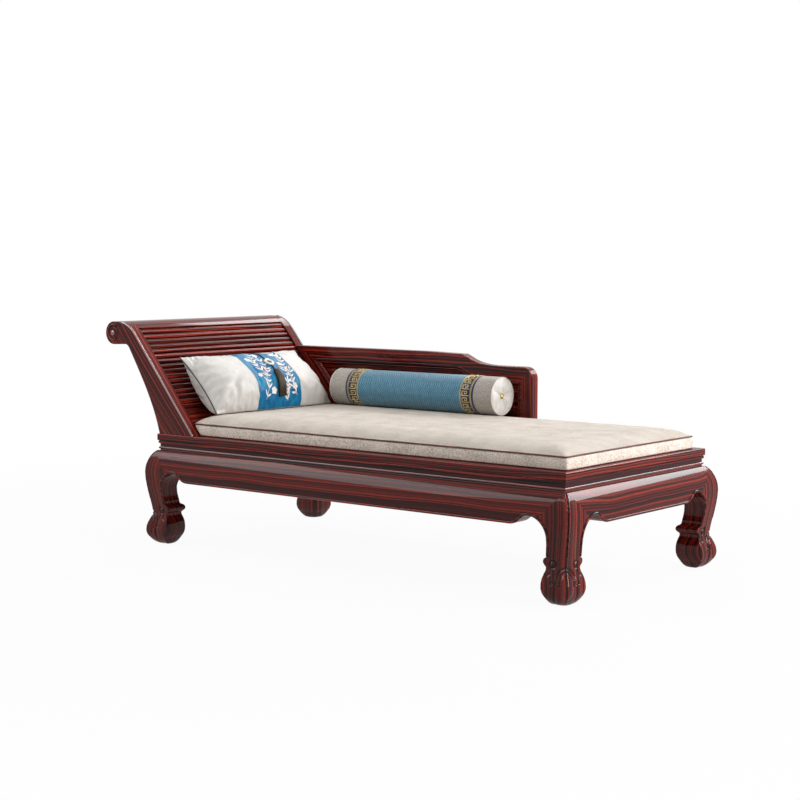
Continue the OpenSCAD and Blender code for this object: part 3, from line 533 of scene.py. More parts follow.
def wood(grain, seed, red=1.0, gloss=0):
    """One of the rosewood materials, made once."""
    key = f"rosewood_{grain}_{seed}_{round(red * 100)}_{round(gloss * 10)}"
    if key not in wood_looks:
        wood_looks[key] = rosewood(key, *GRAINS[grain], seed, red, grain == "leg", gloss)
    return wood_looks[key]


def grain_of(node):
    if node.startswith("back_foot_post"):
        return "z"
    if node.startswith(("stile_", "back_head_stile")):
        return "slope"
    if node.startswith(("slat_", "head_r")):
        return "slat"
    if node.startswith("batten_") or node.endswith(("_head", "_foot")):
        return "y"
    return "x"


# ---- Wood: the CAD pieces with their arrises eased ------------------------------------------

TREES = {n: tree_of(frame["nodes"][n]) for n in WOOD_NODES}
# How far each kind of piece's free arrises are eased; rails have their rounding in the CAD
ARRIS = {"seat_rail": 0.8, "stile": 3.2, "back_panel": 2.0, "back": 3.0, "head_roll": 1.5,
         "slat": 0.8, "apron": 1.6, "leg": 5.0}
# The easing of an arris that lies on another piece, and how near it has to lie
JOINT_ARRIS = 0.35
SHARP = math.radians(28)
# Places along an arris that are tried. It is a joint's where more than half of them touch.
TRIED = (0.1, 0.3, 0.5, 0.7, 0.9)
# The height at which a leg's finely meshed foot passes into its eased upper part
FOOT_TOP = 166
FOOT_VOXEL, FOOT_SMOOTHING, FOOT_WEAR = 1.5, 14, 3
# The ball's swelling on its inner faces: how far, its middle height and its reach down and up
BALL_SWELL, SWELL_Z, SWELL_BELOW, SWELL_ABOVE = 7.0, 58, 36, 46
# How the ball's outer corner is worn round, up to a height
WEAR_POWER, WEAR_SHARE, WEAR_HIGH = 2.2, 0.75, 54


def bare_mesh(node):
    """A CAD node's points and faces, doubled points joined and flat faces made whole."""
    data = frame["nodes"][node].data
    bm = bmesh.new()
    points = [bm.verts.new(v.co) for v in data.vertices]
    for p in data.polygons:
        try:
            bm.faces.new([points[i] for i in p.vertices])
        except ValueError:
            continue
    bmesh.ops.remove_doubles(bm, verts=bm.verts, dist=0.2 * MM)
    bmesh.ops.dissolve_limit(bm, angle_limit=math.radians(0.6), verts=bm.verts, edges=bm.edges)
    bmesh.ops.recalc_face_normals(bm, faces=bm.faces)
    return bm


def sliced(bm, z, **cleared):
    """Cuts a mesh at a height, drops the cleared side, and gives the cut's edges."""
    cut = bmesh.ops.bisect_plane(bm, geom=bm.verts[:] + bm.edges[:] + bm.faces[:],
                                 plane_co=(0, 0, z * MM), plane_no=(0, 0, 1), **cleared)
    return [item for item in cut["geom_cut"] if isinstance(item, bmesh.types.BMEdge)]


def object_of(bm, name):
    mesh = bpy.data.meshes.new(name)
    bm.to_mesh(mesh)
    bm.free()
    return linked(name, mesh)


def neighbours_of(node):
    """Search trees of the wood nodes whose boxes meet this one's."""
    lo, hi = BOXES[node]
    return [TREES[n] for n, box in BOXES.items() if n != node and all(
        box[0][k] < hi[k] + MM and box[1][k] > lo[k] - MM for k in range(3))]


def eased(node, above=None):
    """A copy of a CAD piece whose free arrises are rounded, and whose joint lines stay tight.
    above keeps only the part over that height."""
    bm = bare_mesh(node)
    width = next((w for k, w in ARRIS.items() if node.startswith(k)), 1.0) * MM
    near = neighbours_of(node)
    layer = bm.edges.layers.float.new("bevel_weight_edge")
    for e in bm.edges:
        if len(e.link_faces) != 2 or e.calc_face_angle(0) < SHARP:
            continue
        a, b = (v.co for v in e.verts)
        touches = sum(any(t.find_nearest(a.lerp(b, f), JOINT_ARRIS * MM)[0] for t in near)
                      for f in TRIED)
        e[layer] = JOINT_ARRIS * MM / width if touches > len(TRIED) / 2 else 1.0
    if above is not None:
        for e in sliced(bm, above, clear_inner=True):
            e[layer] = 0.0
    for f in bm.faces:
        f.smooth = True
    obj = object_of(bm, f"{node}_wood")
    modifier(obj, "BEVEL", limit_method="WEIGHT", width=width, segments=3,
             use_clamp_overlap=False, harden_normals=True)
    return obj


def build_wood():
    for index, node in enumerate(WOOD_NODES):
        if node.startswith("leg_"):
            continue
        obj = eased(node)
        # The waist strips get a darker wood as painted shade for their recess between the rail's
        # bands and the bead
        red = 1.12 if SLOT_OF[node] == "rosewood_light" else 0.5 if "waist" in node else 1.0
        seed = index % 5 if node.startswith("slat_") else index % 3
        gloss = 1.6 if node.startswith("bead_") else 0
        obj.data.materials.append(wood(grain_of(node), seed, red, gloss))
        hold(obj, "bed_frame", SLOT_OF[node], node)


# ---- Base: the carved legs and the lips of the aprons ----------------------------------------

# The legs' outer faces from the sole up to the aprons' top: distance out and height
leg_outline = np.array((
    bez((1, APRON_TOP), (KNEE_OUT * 0.5, APRON_TOP - 12), (KNEE_OUT, KNEE_Z + 40),
        (KNEE_OUT, KNEE_Z), 24)
    + bez((KNEE_OUT, KNEE_Z), (KNEE_OUT, KNEE_Z - 50), (ANKLE_OUT, ANKLE_Z + 25),
          (ANKLE_OUT, ANKLE_Z), 24)
    + bez((ANKLE_OUT, ANKLE_Z), (ANKLE_OUT, ANKLE_Z - 18), (BALL_OUT, BALL_Z + 28),
          (BALL_OUT, BALL_Z), 16)
    + bez((BALL_OUT, BALL_Z), (BALL_OUT, BALL_Z - 28), (17, 2), (-2, 0), 16))[::-1])
GRAIN_OF_SIDE = {"front": "x", "rear": "x", "head": "y", "foot": "y"}
# Section of the raised lip along an apron: distance from its edge and height on the face
LIP_SECTION = ((-0.4, -3.0), (-0.6, 0.4), (0.2, 2.0), (1.6, 3.4), (3.4, 4.1), (5.2, 4.0),
               (6.8, 3.0), (7.8, 1.4), (8.1, -0.6), (8.1, -3.0))
# Carving on a leg's two outer faces: a line of (distance round from the corner, height), and
# its depth and half width. The last two lines and the first eye make the curl at the ankle.
CURL_EYE = (53, 127)
CARVED_LINES = (
    (bez((0, 119), (24, 117), (42, 99), (46, 70), 10) + arc(56, 63, 10, 165, 20, 10), 3.0, 3.1),
    (bez((0, 108), (17, 106), (31, 90), (36, 62), 8), 2.4, 2.8),
    (bez((49, 58), (52, 44), (50, 28), (44, 14), 8), 2.4, 3.0),
    (spiral(*CURL_EYE, 14, 8.5, 1.05, 120, 40), 3.4, 2.9),
    (bez((62, 112), (58, 104), (62, 96), (72, 92), 8), 2.2, 2.8))
CARVED_EYES = ((*CURL_EYE, 5.0), (57, 64, 4.6))
EYE_RISE, EGG_RISE = 3.4, 3.0


def outward(z):
    """How far the legs' outer faces stand out from the frame's edge at a height."""
    return np.interp(z, leg_outline[:, 1], leg_outline[:, 0])


def side_point(side, s, out, z):
    """A point on one side of the base: s along it, out beyond the frame's edge, in millimetres."""
    out_x, out_y = HALF_X / MM + out, HALF_Y / MM + out
    x, y = {"front": (s, -out_y), "rear": (-s, out_y), "foot": (out_x, s),
            "head": (-out_x, -s)}[side]
    return seat(x, y, z)


def edge_path(side):
    """The lower edge of an apron and the inner edges of its two legs, as (along, z)."""
    half = (HALF_X if side in ("front", "rear") else HALF_Y) / MM
    arch_in = SHANK_IN + ARCH_R
    inner = half - CURL_IN
    leg_edge = bez((inner + 1, CURL_Z + CURL_R + 4), (inner + 2, CURL_Z + CURL_R + 20),
                   (half - SHANK_IN, ARCH_Z - 25), (half - SHANK_IN, ARCH_Z), 6)[:-1]
    bow = arc(half - arch_in, ARCH_Z, ARCH_R, 0, 99, 24)
    free = bez(bow[-1], (half - arch_in - 27, ARCH_Z + ARCH_R - 4),
               (half - arch_in - 35, APRON_BOT + 1), (half - CUSP_REACH, APRON_BOT), 14)
    right = resample(leg_edge + bow + free[1:], 4)
    return np.concatenate([right, right[::-1] * np.array((-1, 1))])


def edge_lip(side):
    """A raised lip along the lower edge of an apron and the inner edges of its legs."""
    path = edge_path(side)
    ahead = np.gradient(path, axis=0)
    ahead /= np.linalg.norm(ahead, axis=1)[:, None]
    # The path runs up the right leg and to the left, so the wood is on its right hand
    inward = np.stack([ahead[:, 1], -ahead[:, 0]], axis=1)
    rings = [[side_point(side, s0 + ns * d, outward(z0 + nz * d) + up, z0 + nz * d)
              for d, up in LIP_SECTION] for (s0, z0), (ns, nz) in zip(path, inward)]
    verts, faces = skin(rings, False, False)
    m = len(LIP_SECTION)
    faces += [range(m), range(len(verts) - m, len(verts))[::-1]]
    return make_object(f"edge_lip_{side}", (verts, faces), wood(GRAIN_OF_SIDE[side], 3))


def distance_to(line, c, z):
    """Distance of points (c, z) to a line of points, arrays in millimetres."""
    best = np.full(len(c), 1e9)
    pts = np.array(line, float)
    for a, b in zip(pts[:-1], pts[1:]):
        d = b - a
        t = np.clip(((c - a[0]) * d[0] + (z - a[1]) * d[1]) / max(d @ d, 1e-9), 0, 1)
        best = np.minimum(best, np.hypot(c - a[0] - t * d[0], z - a[1] - t * d[1]))
    return best


def carving(c, z):
    """Height of the carved relief, in millimetres, at points of a leg's outer faces."""
    lift = np.zeros(len(c))
    for line, deep, wide in CARVED_LINES:
        lift -= deep * np.exp(-(distance_to(line, c, z) / wide) ** 2)
    for ex, ez, r in CARVED_EYES:
        lift += EYE_RISE * np.exp(-(np.hypot(c - ex, z - ez) / r) ** 2)
    # The egg inside the leaf swells out of the ball and runs to a point at the sole
    return lift + EGG_RISE * np.sqrt(np.clip(1 - (c / 31) ** 2 - ((z - 64) / 40) ** 2, 0, 1))


def corner_of(node):
    """The signs of a leg's x and y."""
    return 1 if node.endswith("foot") else -1, -1 if "front" in node else 1


def give_leg_grain(mesh, node):
    """Places for the leg's stripes that follow its bulges, so that they run down both faces."""
    sx, sy = corner_of(node)
    co = vectors(mesh.vertices)
    bulge = outward(co[:, 2] / MM) * 0.75 * MM
    give(mesh, "grain", np.stack([sx * co[:, 0] - bulge, sy * co[:, 1] - bulge, co[:, 2]], axis=1))


def carved_foot(node):
    """A leg's foot remeshed finely, its arrises worn soft, with the leaf and the curls cut in."""
    sx, sy = corner_of(node)
    bm = bare_mesh(node)
    bmesh.ops.edgeloop_fill(bm, edges=sliced(bm, FOOT_TOP + 12, clear_outer=True))
    bmesh.ops.triangulate(bm, faces=bm.faces)
    rough = object_of(bm, node + "_rough")
    modifier(rough, "REMESH", mode="VOXEL", voxel_size=FOOT_VOXEL * MM)
    modifier(rough, "SMOOTH", factor=0.5, iterations=FOOT_SMOOTHING)
    mesh = bpy.data.meshes.new_from_object(as_shown(rough))
    bpy.data.objects.remove(rough)
    co, normal = vectors(mesh.vertices), vectors(mesh.vertices, "normal")
    dx = (HALF_X - sx * (co[:, 0] - SEAT_X)) / MM
    dy = (HALF_Y - sy * co[:, 1]) / MM
    z = co[:, 2] / MM
    # Only the two outer faces are carved, not the inner ones or the curls' ends
    faces_out = np.maximum(normal[:, 0] * sx, normal[:, 1] * sy)
    on_face = (smooth((14 - (np.minimum(dx, dy) + outward(z))) / 6)
               * smooth((faces_out - 0.25) / 0.3))
    lift = carving(np.abs(dx - dy), z) * on_face
    co += normal * lift[:, None] * MM
    # The ball swells on its inner faces, and its outer corner and its bottom are worn round
    middle, half = (BALL_IN - BALL_OUT) / 2, (BALL_IN + BALL_OUT) / 2
    px, py = (dx - middle) / half, (dy - middle) / half
    high = np.where(z < SWELL_Z, SWELL_BELOW, SWELL_ABOVE)
    ball = np.clip(1 - ((z - SWELL_Z) / high) ** 2, 0, 1)
    for axis, sign, a, b in ((0, sx, px, py), (1, sy, py, px)):
        inner = smooth((a - 0.55) / 0.3)
        co[:, axis] -= sign * BALL_SWELL * inner * ball * np.clip(1 - 0.6 * b ** 2, 0, 1) * MM
    reach = (np.abs(px) ** WEAR_POWER + np.abs(py) ** WEAR_POWER) ** (1 / WEAR_POWER)
    flat = np.maximum(np.abs(px), np.abs(py))
    round_off = np.clip(1 - flat / np.maximum(reach, 1e-6), 0, 1)
    low = np.clip((WEAR_HIGH - z) / WEAR_HIGH, 0, 1)
    shrink = WEAR_SHARE * low ** WEAR_POWER * round_off
    co[:, 0] += sx * (dx - middle) * shrink * MM
    co[:, 1] += sy * (dy - middle) * shrink * MM
    # The top of the foot slips under the leg's faces
    under = 0.4 * smooth((z - FOOT_TOP + 4) / 4)
    co -= normal * under[:, None] * MM
    mesh.vertices.foreach_set("co", co.ravel())
    mesh.update()
    mesh.shade_smooth()
    mesh.name = node + "_carved"
    give_leg_grain(mesh, node)
    # How deep each point lies in a carved line, which sets the painted shade in the grooves
    give(mesh, "carved", np.clip((-lift - 0.5) / 1.6, 0, 0.85))
    obj = linked(node + "_carved", mesh)
    modifier(obj, "SMOOTH", factor=0.5, iterations=FOOT_WEAR)
    return obj


def build_base():
    for node in WOOD_NODES:
        if node.startswith("leg_"):
            look = wood("leg", 1 + len(node) % 3)
            foot, leg = carved_foot(node), eased(node, FOOT_TOP)
            give_leg_grain(leg.data, node)
            for obj in (foot, leg):
                obj.data.materials.append(look)
            hold(foot, "bed_frame", SLOT_OF[node], node)
            hold(leg, "bed_frame", SLOT_OF[node])
    for side in GRAIN_OF_SIDE:
        hold(edge_lip(side), "bed_frame", "rosewood")


build_wood()
build_base()


# ---- Headrest and back mouldings -----------------------------------------------------------

# The back's opening, as in the part's source, in millimetres from the seat's centre
BACK_END, BACK_HIGH, BACK_LOW = 210, 697, 655
RAIL_W, POST_W, STILE_W, BASE_W, LIP_W = 57, 56, 50, 48, 9
OGEE_X, OGEE_LEN, OGEE_EASE, OGEE_TAIL = -146, 208, 0.37, 0.75
LIP_HALF = 15 * MM
# The spiral lines on a scroll: radius at their start and end, and half thickness at the start.
# They begin at an angle, and lie a little sunk in the face.
# The second, thin dark line is painted shade, laid in the groove beside the raised spiral
SCROLL_LINES = (("scroll", 32, 20, 4.6), ("scroll_groove_shade", 26.5, 13.5, 1.8))
SCROLL_TURNS, SCROLL_START, SCROLL_SINK = 1.15, 60, 0.4
# The bead on the front arris: how far in its middle lies, and its radius
ARRIS_IN, ARRIS_BEAD_R = 1.2, 4.0
# The domed eye of a scroll, as radii and heights
SCROLL_EYE = ((10.5, -1.0), (10.4, 2.0), (9.4, 4.2), (7.2, 5.8), (4.0, 6.8), (0.4, 7.2))


def build_scrolls():
    """The spiral, its eye and the front arris' bead on the outer face of each stile."""
    lo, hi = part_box("head_roll")
    cx = (lo.x - SEAT_X) / MM + SCROLL_R
    cz = hi.z / MM - SCROLL_R
    for end, sign in (("front", -1), ("rear", 1)):
        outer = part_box("stile_" + end)[(sign + 1) // 2].y
        looks = wood("slope", 2), painted_groove_shade()
        for (kind, r0, r1, thick), look in zip(SCROLL_LINES, looks):
            path = [upright(x, outer - sign * SCROLL_SINK * MM, z)
                    for x, z in spiral(cx, cz, r0, r1, SCROLL_TURNS, SCROLL_START, 60)]
            radii = [thick * (1 - 0.3 * i / len(path)) * MM for i in range(len(path))]
            piece(f"{kind}_{end}", tube(path, radii), look, "bed_frame", "rosewood")
        rings = [[upright(cx + r * math.cos(a), outer + sign * h * MM, cz + r * math.sin(a))
                  for a in circle(32)] for r, h in SCROLL_EYE]
        piece(f"scroll_eye_{end}", skin(rings, first=False), wood("slope", 0, gloss=2.2),
              "bed_frame", "rosewood")
        # The bead runs from the seat frame up over the crest
        line = [(EDGE_X / MM - ARRIS_IN * HEAD_N.x, TOP / MM - ARRIS_IN * HEAD_N.z)]
        line += arc(cx + SCROLL_BACK, cz + SCROLL_R - CREST_R, CREST_R - ARRIS_IN,
                    math.degrees(LEAN), 84, 14)
        arris = [upright(x, outer - sign * ARRIS_IN * MM, z) for x, z in resample(line, 12)]
        cords(f"arris_bead_{end}", [arris], ARRIS_BEAD_R, wood("slope", 1, gloss=2.4), 12,
              "bed_frame", "rosewood")


def edge_at(z):
    """Where the stiles' front edges are at a height."""
    return EDGE_X / MM - (z - TOP / MM) * math.tan(LEAN)


def back_opening(e):
    """The opening's outline set in by e mm, as a closed line of (x, z)."""
    top_z, low_z = BACK_HIGH - RAIL_W - e, BACK_LOW - RAIL_W - e
    base_z = TOP / MM + BASE_W + e
    slope = (STILE_W + e) / math.cos(LEAN)
    x, run = OGEE_X - 0.25 * (RAIL_W + e), OGEE_LEN
    right = BACK_END - POST_W - e
    return [(edge_at(base_z) + slope, base_z), (edge_at(top_z) + slope, top_z),
            *bez((x, top_z), (x + OGEE_EASE * run, top_z), (x + (1 - OGEE_TAIL) * run, low_z),
                 (x + run, low_z), 16), (right, low_z), (right, base_z)]


def build_back_beads():
    """Beads round the opening, on both faces of the back."""
    lo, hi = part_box("back_top_rail")
    mid, half = (lo.y + hi.y) / 2, (hi.y - lo.y) / 2
    for name, e, stand, r in (("outer", -7.5, half, 2.4), ("inner", LIP_W / 2, LIP_HALF, 2.6)):
        for face, sign in (("front", -1), ("rear", 1)):
            outline = back_opening(e)
            path = []
            for a, b in zip(outline, outline[1:] + outline[:1]):
                steps = max(1, int(math.dist(a, b) / 12))
                path += [(a[0] + (b[0] - a[0]) * t / steps, a[1] + (b[1] - a[1]) * t / steps)
                         for t in range(steps)]
            points = [upright(x, mid + sign * (stand - 0.6 * MM), z) for x, z in path]
            cords(f"back_bead_{name}_{face}", [points], r, wood("x", 4), 10, "bed_frame",
                  "rosewood", closed=True)


build_scrolls()
build_back_beads()


# ---- Mattress ------------------------------------------------------------------------------

SEAM_H, CROWN_H, CROWN_RUN = 42, 33, 140
SOFT_GAP = 0.4
MATT_CORNER, MATT_DRAW = 8, 4
PIPING_R, LOW_PIPING_R = 2.7, 1.6
MATT_Y0, MATT_Y1 = -393, 386.6
MATT_X1 = HALF_X / MM - 21
MATT_FOOT = TOP / MM + SOFT_GAP
MATT_TOP = MATT_FOOT + SEAM_H + CROWN_H
PAD_HALF_X, PAD_HALF_Y = 820, 390
# Steps along the pad's long and short sides, and on half of a corner
LONG_N, SHORT_N, CORNER_N = 120, 58, 4
# The pad's rings from its underside up, as inset and height; the first BORDER make the border
BORDER = 9
PAD_RINGS = [(6, 0), (2.2, 1.6), (1.0, 5), (0.6, 12), (0.9, 21), (1.0, 30), (1.6, 36),
             (2.6, SEAM_H - 3.4), (5.0, SEAM_H - 1.2), (7.4, SEAM_H), (5.2, SEAM_H + 1.4),
             (3.4, SEAM_H + 4.2)]
CROWN_STEPS = (6, 10, 15, 21, 28, 36, 46, 58, 72, 88, 105, 122, 140)


def matt_x0(z):
    """Where the pad's head end is at a height: just off the stiles' front edges."""
    return edge_at(TOP / MM + z) + SOFT_GAP / math.cos(LEAN) + 0.1


def crown(d):
    """Height of the crown at a distance in from the seam."""
    return SEAM_H + CROWN_H * (1 - (1 - min(d, CROWN_RUN) / CROWN_RUN) ** 3.2)


def matt_ring(d, z, long_n, short_n):
    """A closed outline of the mattress set in by d at a height z, starting at its first corner."""
    x0, x1, y0, y1 = matt_x0(z) + d, MATT_X1 - d, MATT_Y0 + d, MATT_Y1 - d
    corners = [np.array(c) for c in ((x0, y0), (x1, y0), (x1, y1), (x0, y1))]
    r = MATT_CORNER + 0.3 * d
    eighth = math.pi / 4
    ring = []
    for i in range(4):
        a, b = corners[i], corners[(i + 1) % 4]
        length = np.linalg.norm(b - a)
        u = (b - a) / length
        inw = np.array((-u[1], u[0]))
        count = long_n if i % 2 == 0 else short_n
        turn = math.radians(-90 + 90 * i)

        def on_arc(centre, q):
            return centre + r * np.array((math.cos(q), math.sin(q)))

        start, end = a + u * r + inw * r, b - u * r + inw * r
        ring += [on_arc(start, turn - eighth * (1 - k / CORNER_N)) for k in range(CORNER_N)]
        for t in (k / count for k in range(count + 1)):
            bow = MATT_DRAW * 4 * t * (1 - t)
            ring.append(a + u * (r + (length - 2 * r) * t) + inw * bow)
        ring += [on_arc(end, turn + eighth * k / CORNER_N) for k in range(1, CORNER_N)]
    return ring


def uneven(x, y, near_seam=0.0):
    """How far the pad's top lies off its even crown, in millimetres: more near the seam."""
    return (1.6 * near_seam + 0.5) * waver(x, y, 0, 55, 5) + 0.5 * waver(x, y, 0, 24, 6) - 0.8


def pad_point(index, x, y, d, z):
    """A point of the pad, with the border's bulges or the crown's unevenness."""
    lift = push = 0.0
    if 2 <= index < BORDER:
        # The bulges push in only, so that the pad stays in its CAD solid
        push = min(0.9 * waver(x, y, z, 34, 3) + 0.5 * waver(x, y, z, 12, 8), 0.9) - 0.9
    elif index >= BORDER + 2:
        lift = uneven(x, y, math.exp(-d / 40))
    away = Vector((x - (matt_x0(z) + MATT_X1) / 2, y - (MATT_Y0 + MATT_Y1) / 2))
    at_end = abs(away.x) / PAD_HALF_X > abs(away.y) / PAD_HALF_Y
    axis = Vector((1, 0)) if at_end else Vector((0, 1))
    shift = axis * math.copysign(1, away.dot(axis)) * push
    return seat(x + shift.x, y + shift.y, MATT_FOOT + z + lift)


def fill(ring, verts, top):
    """Quads across a ring, as a blend between its four sides. Adds their points to verts."""
    side_a, side_b = LONG_N + 2 * CORNER_N, SHORT_N + 2 * CORNER_N
    ends = np.cumsum([0, side_a, side_b, side_a, side_b])
    front, foot, rear, head = ([*ring, ring[0]][a:b + 1] for a, b in zip(ends, ends[1:]))
    rear, head = rear[::-1], head[::-1]
    ids = {(i, j): k for j, row in ((0, front), (side_b, rear)) for i, k in enumerate(row)}
    ids.update({(i, j): k for i, row in ((0, head), (side_a, foot)) for j, k in enumerate(row)})
    for i in range(1, side_a):
        for j in range(1, side_b):
            s, t = i / side_a, j / side_b
            p = (verts[front[i]] * (1 - t) + verts[rear[i]] * t
                 + verts[head[j]] * (1 - s) + verts[foot[j]] * s
                 - verts[front[0]] * (1 - s) * (1 - t) - verts[front[-1]] * s * (1 - t)
                 - verts[rear[0]] * (1 - s) * t - verts[rear[-1]] * s * t)
            if top:
                p.z = (MATT_TOP + uneven(p.x / MM, p.y / MM)) * MM
            ids[i, j] = len(verts)
            verts.append(p)
    quads = [(ids[i, j], ids[i + 1, j], ids[i + 1, j + 1], ids[i, j + 1])
             for i in range(side_a) for j in range(side_b)]
    return quads if top else [quad[::-1] for quad in quads]


def build_mattress():
    levels = PAD_RINGS + [(d, crown(d)) for d in CROWN_STEPS]
    rings = [[pad_point(index, x, y, d, z) for x, y in matt_ring(d, z, LONG_N, SHORT_N)]
             for index, (d, z) in enumerate(levels)]
    verts, faces = skin(rings, False, False)
    m, border = len(rings[0]), BORDER * len(rings[0])
    top = fill(range(len(verts) - m, len(verts)), verts, True)
    bottom = fill(range(m), verts, False)
    indices = [1] * border + [0] * (len(faces) - border + len(top)) + [1] * len(bottom)
    pad = make_object("mattress_pad", (verts, faces + top + bottom), [linen(), pebbled_linen()],
                      indices)
    hold(pad, "mattress", "linen", "mattress")
    look = plain_cloth("piping_cord", (66, 22, 20), (112, 42, 36), 1.3, 0.5)
    top = [seat(x, y, MATT_FOOT + SEAM_H) for x, y in matt_ring(PIPING_R + 0.3, SEAM_H, 160, 70)]
    cords("mattress_top_piping", [top], PIPING_R, look, 12, "mattress", "piping",
          "mattress_piping", closed=True)
    foot = [seat(x, y, MATT_FOOT + 2.2) for x, y in matt_ring(1.9, 2, 160, 70)]
    cords("mattress_low_piping", [foot], LOW_PIPING_R, look, 10, "mattress", "piping", closed=True)


build_mattress()


# ---- Pillow --------------------------------------------------------------------------------

PILLOW_W, PILLOW_H, PILLOW_HALF = 628, 279, 68
PILLOW_LEAN = math.radians(43.7)
PILLOW_Y, PILLOW_OFF, PILLOW_UP, PILLOW_DRAW, PILLOW_SAG = -18, 60, 101, 0.05, 0.3
SLAT_IN = 5
pillow_cz = MATT_TOP + PILLOW_UP
pillow_cx = EDGE_X / MM - ((pillow_cz - TOP / MM) * math.sin(LEAN) - PILLOW_OFF) / math.cos(LEAN)
PILLOW_C = seat(pillow_cx, PILLOW_Y, pillow_cz)
PILLOW_U = Vector((0, 1, 0))
PILLOW_V = Vector((-math.sin(PILLOW_LEAN), 0, math.cos(PILLOW_LEAN)))
PILLOW_N = Vector((math.cos(PILLOW_LEAN), 0, math.sin(PILLOW_LEAN)))
# The blue band's edges, as shares of the pillow's half width at its bottom and top seams
BAND_EDGES = (-0.33, 0.44)
# The case's columns in its left, middle and right cloth, and its rows
LEFT_N, MID_N, RIGHT_N, ROWS_N = 38, 36, 28, 56
WELT_R, EDGING_R, TWIG_R = 2.3, 0.9, 1.1
# How far the filling behind the side seams stands out beyond them
SIDE_BULGE = 20
# The cloth simulation's length, and how far it may move a point, in millimetres
CLOTH_FRAMES, CLOTH_REACH = 20, 9
# Creases that run in from the seams: place (u, v), direction, length, width and depth in mm
CREASES = ((-0.80, -0.62, 25, 120, 15, 9.0), (-0.86, -0.28, -12, 100, 13, 7.0),
           (-0.70, -0.86, 62, 80, 12, 6.0), (-0.92, 0.35, -28, 80, 14, 4.0),
           (0.88, -0.55, 152, 95, 14, 4.5), (0.90, 0.42, 205, 80, 13, 3.0),
           (-0.60, 0.90, -66, 60, 12, 2.5), (0.72, 0.88, 245, 60, 12, 2.5))


def band_edge(edge, v):
    return edge + 0.12 * max(0, v) ** 2


def swell(u, v):
    """Share of the pillow's full thickness at u, v, sunk towards its foot."""
    w = v + PILLOW_SAG * (1 - v * v)
    return max(0, 1 - abs(u) ** 5) ** 0.55 * max(0, 1 - w * w) ** 0.6


def drawn(u, v):
    """Place across and up the pillow, in millimetres, its top and sides drawn in."""
    return (PILLOW_W / 2 * u * (1 - PILLOW_DRAW * (1 - v * v)),
            PILLOW_H / 2 * (v - PILLOW_DRAW * max(0, v) * (1 - u * u)))


def crease_depth(a, b):
    """Depth of the creases at a point (a, b) of the pillow's face, in millimetres."""
    total = 0.0
    for u, v, turn, length, width, deep in CREASES:
        x, y = a - u * PILLOW_W / 2, b - v * PILLOW_H / 2
        c, s = math.cos(math.radians(turn)), math.sin(math.radians(turn))
        run, off = x * c + y * s, -x * s + y * c
        bend = off - 0.0016 * run * run
        fade = math.exp(-((run - length * 0.25) / (length * 0.5)) ** 2)
        # The cloth stands up a little on both sides of the crease
        total += deep * fade * (math.exp(-(bend / width) ** 2)
                                - 0.45 * math.exp(-((abs(bend) - 1.5 * width) / width) ** 2))
    return total


def pillow_point(u, v, side):
    """A point of the pillow before it is pressed: u, v from -1 to 1, side 1 in front."""
    y, s = drawn(u, v)
    full = swell(u, v)
    pucker = 1.2 * math.exp(-(1 - abs(v)) / 0.12) * waver(y, 0, side * 40, 9, 2)
    pucker += 1.2 * math.exp(-(1 - abs(u)) / 0.06) * waver(0, s, side * 40, 9, 4)
    n = PILLOW_HALF * full + pucker * min(1, full * 4)
    if side > 0:
        n -= crease_depth(y, s) * smooth(full * 2.2)
    else:
        y += SIDE_BULGE * math.copysign(math.sin(math.pi * abs(u) ** 8), u) * (1 - v * v)
    n += 1.2 * full * waver(y, s, side * 90, 70, 1)
    return PILLOW_C + (PILLOW_U * y + PILLOW_V * s + PILLOW_N * (side * max(n, 0))) * MM


def pressed(p):
    """The point moved clear of the mattress and of the slats."""
    depth = (p.x - SEAT_X) / MM - matt_x0(SEAM_H + CROWN_H)
    p.z = max(p.z, (MATT_FOOT + crown(max(0, depth)) + SOFT_GAP) * MM)
    front = (p.x - SEAT_X - EDGE_X) * HEAD_N.x + (p.z - TOP) * HEAD_N.z
    return p + HEAD_N * max(0, (SOFT_GAP - SLAT_IN) * MM - front)


def spaced(n, ease):
    """n + 1 values from -1 to 1, closer together at both ends."""
    t = np.linspace(-1, 1, n + 1)
    return ease * np.sin(math.pi / 2 * t) + (1 - ease) * t


def inflate(obj, seam):
    """The case blown up as cloth between its sewn seams, then pressed on what it leans on."""
    obj.vertex_groups.new(name="seam").add(seam, 1.0, "REPLACE")
    cloth = modifier(obj, "CLOTH")
    for key, value in {"vertex_group_mass": "seam", "quality": 6, "mass": 0.25,
                       "tension_stiffness": 12, "compression_stiffness": 12,
                       "bending_stiffness": 0.6, "shrink_min": -0.035, "use_pressure": True,
                       "uniform_pressure_force": 4}.items():
        setattr(cloth.settings, key, value)
    cloth.settings.effector_weights.gravity = 0
    cloth.point_cache.frame_start, cloth.point_cache.frame_end = 1, CLOTH_FRAMES
    before = vectors(obj.data.vertices)
    for number in range(1, CLOTH_FRAMES + 1):
        scene.frame_set(number)
    move = vectors(as_shown(obj).data.vertices) - before
    obj.modifiers.remove(cloth)
    scene.frame_set(1)
    far = np.linalg.norm(move, axis=1)[:, None]
    move *= np.minimum(1, CLOTH_REACH * MM / np.maximum(far, 1e-9))
    for v, place in zip(obj.data.vertices, before + move):
        v.co = pressed(Vector(place))
    obj.data.update()


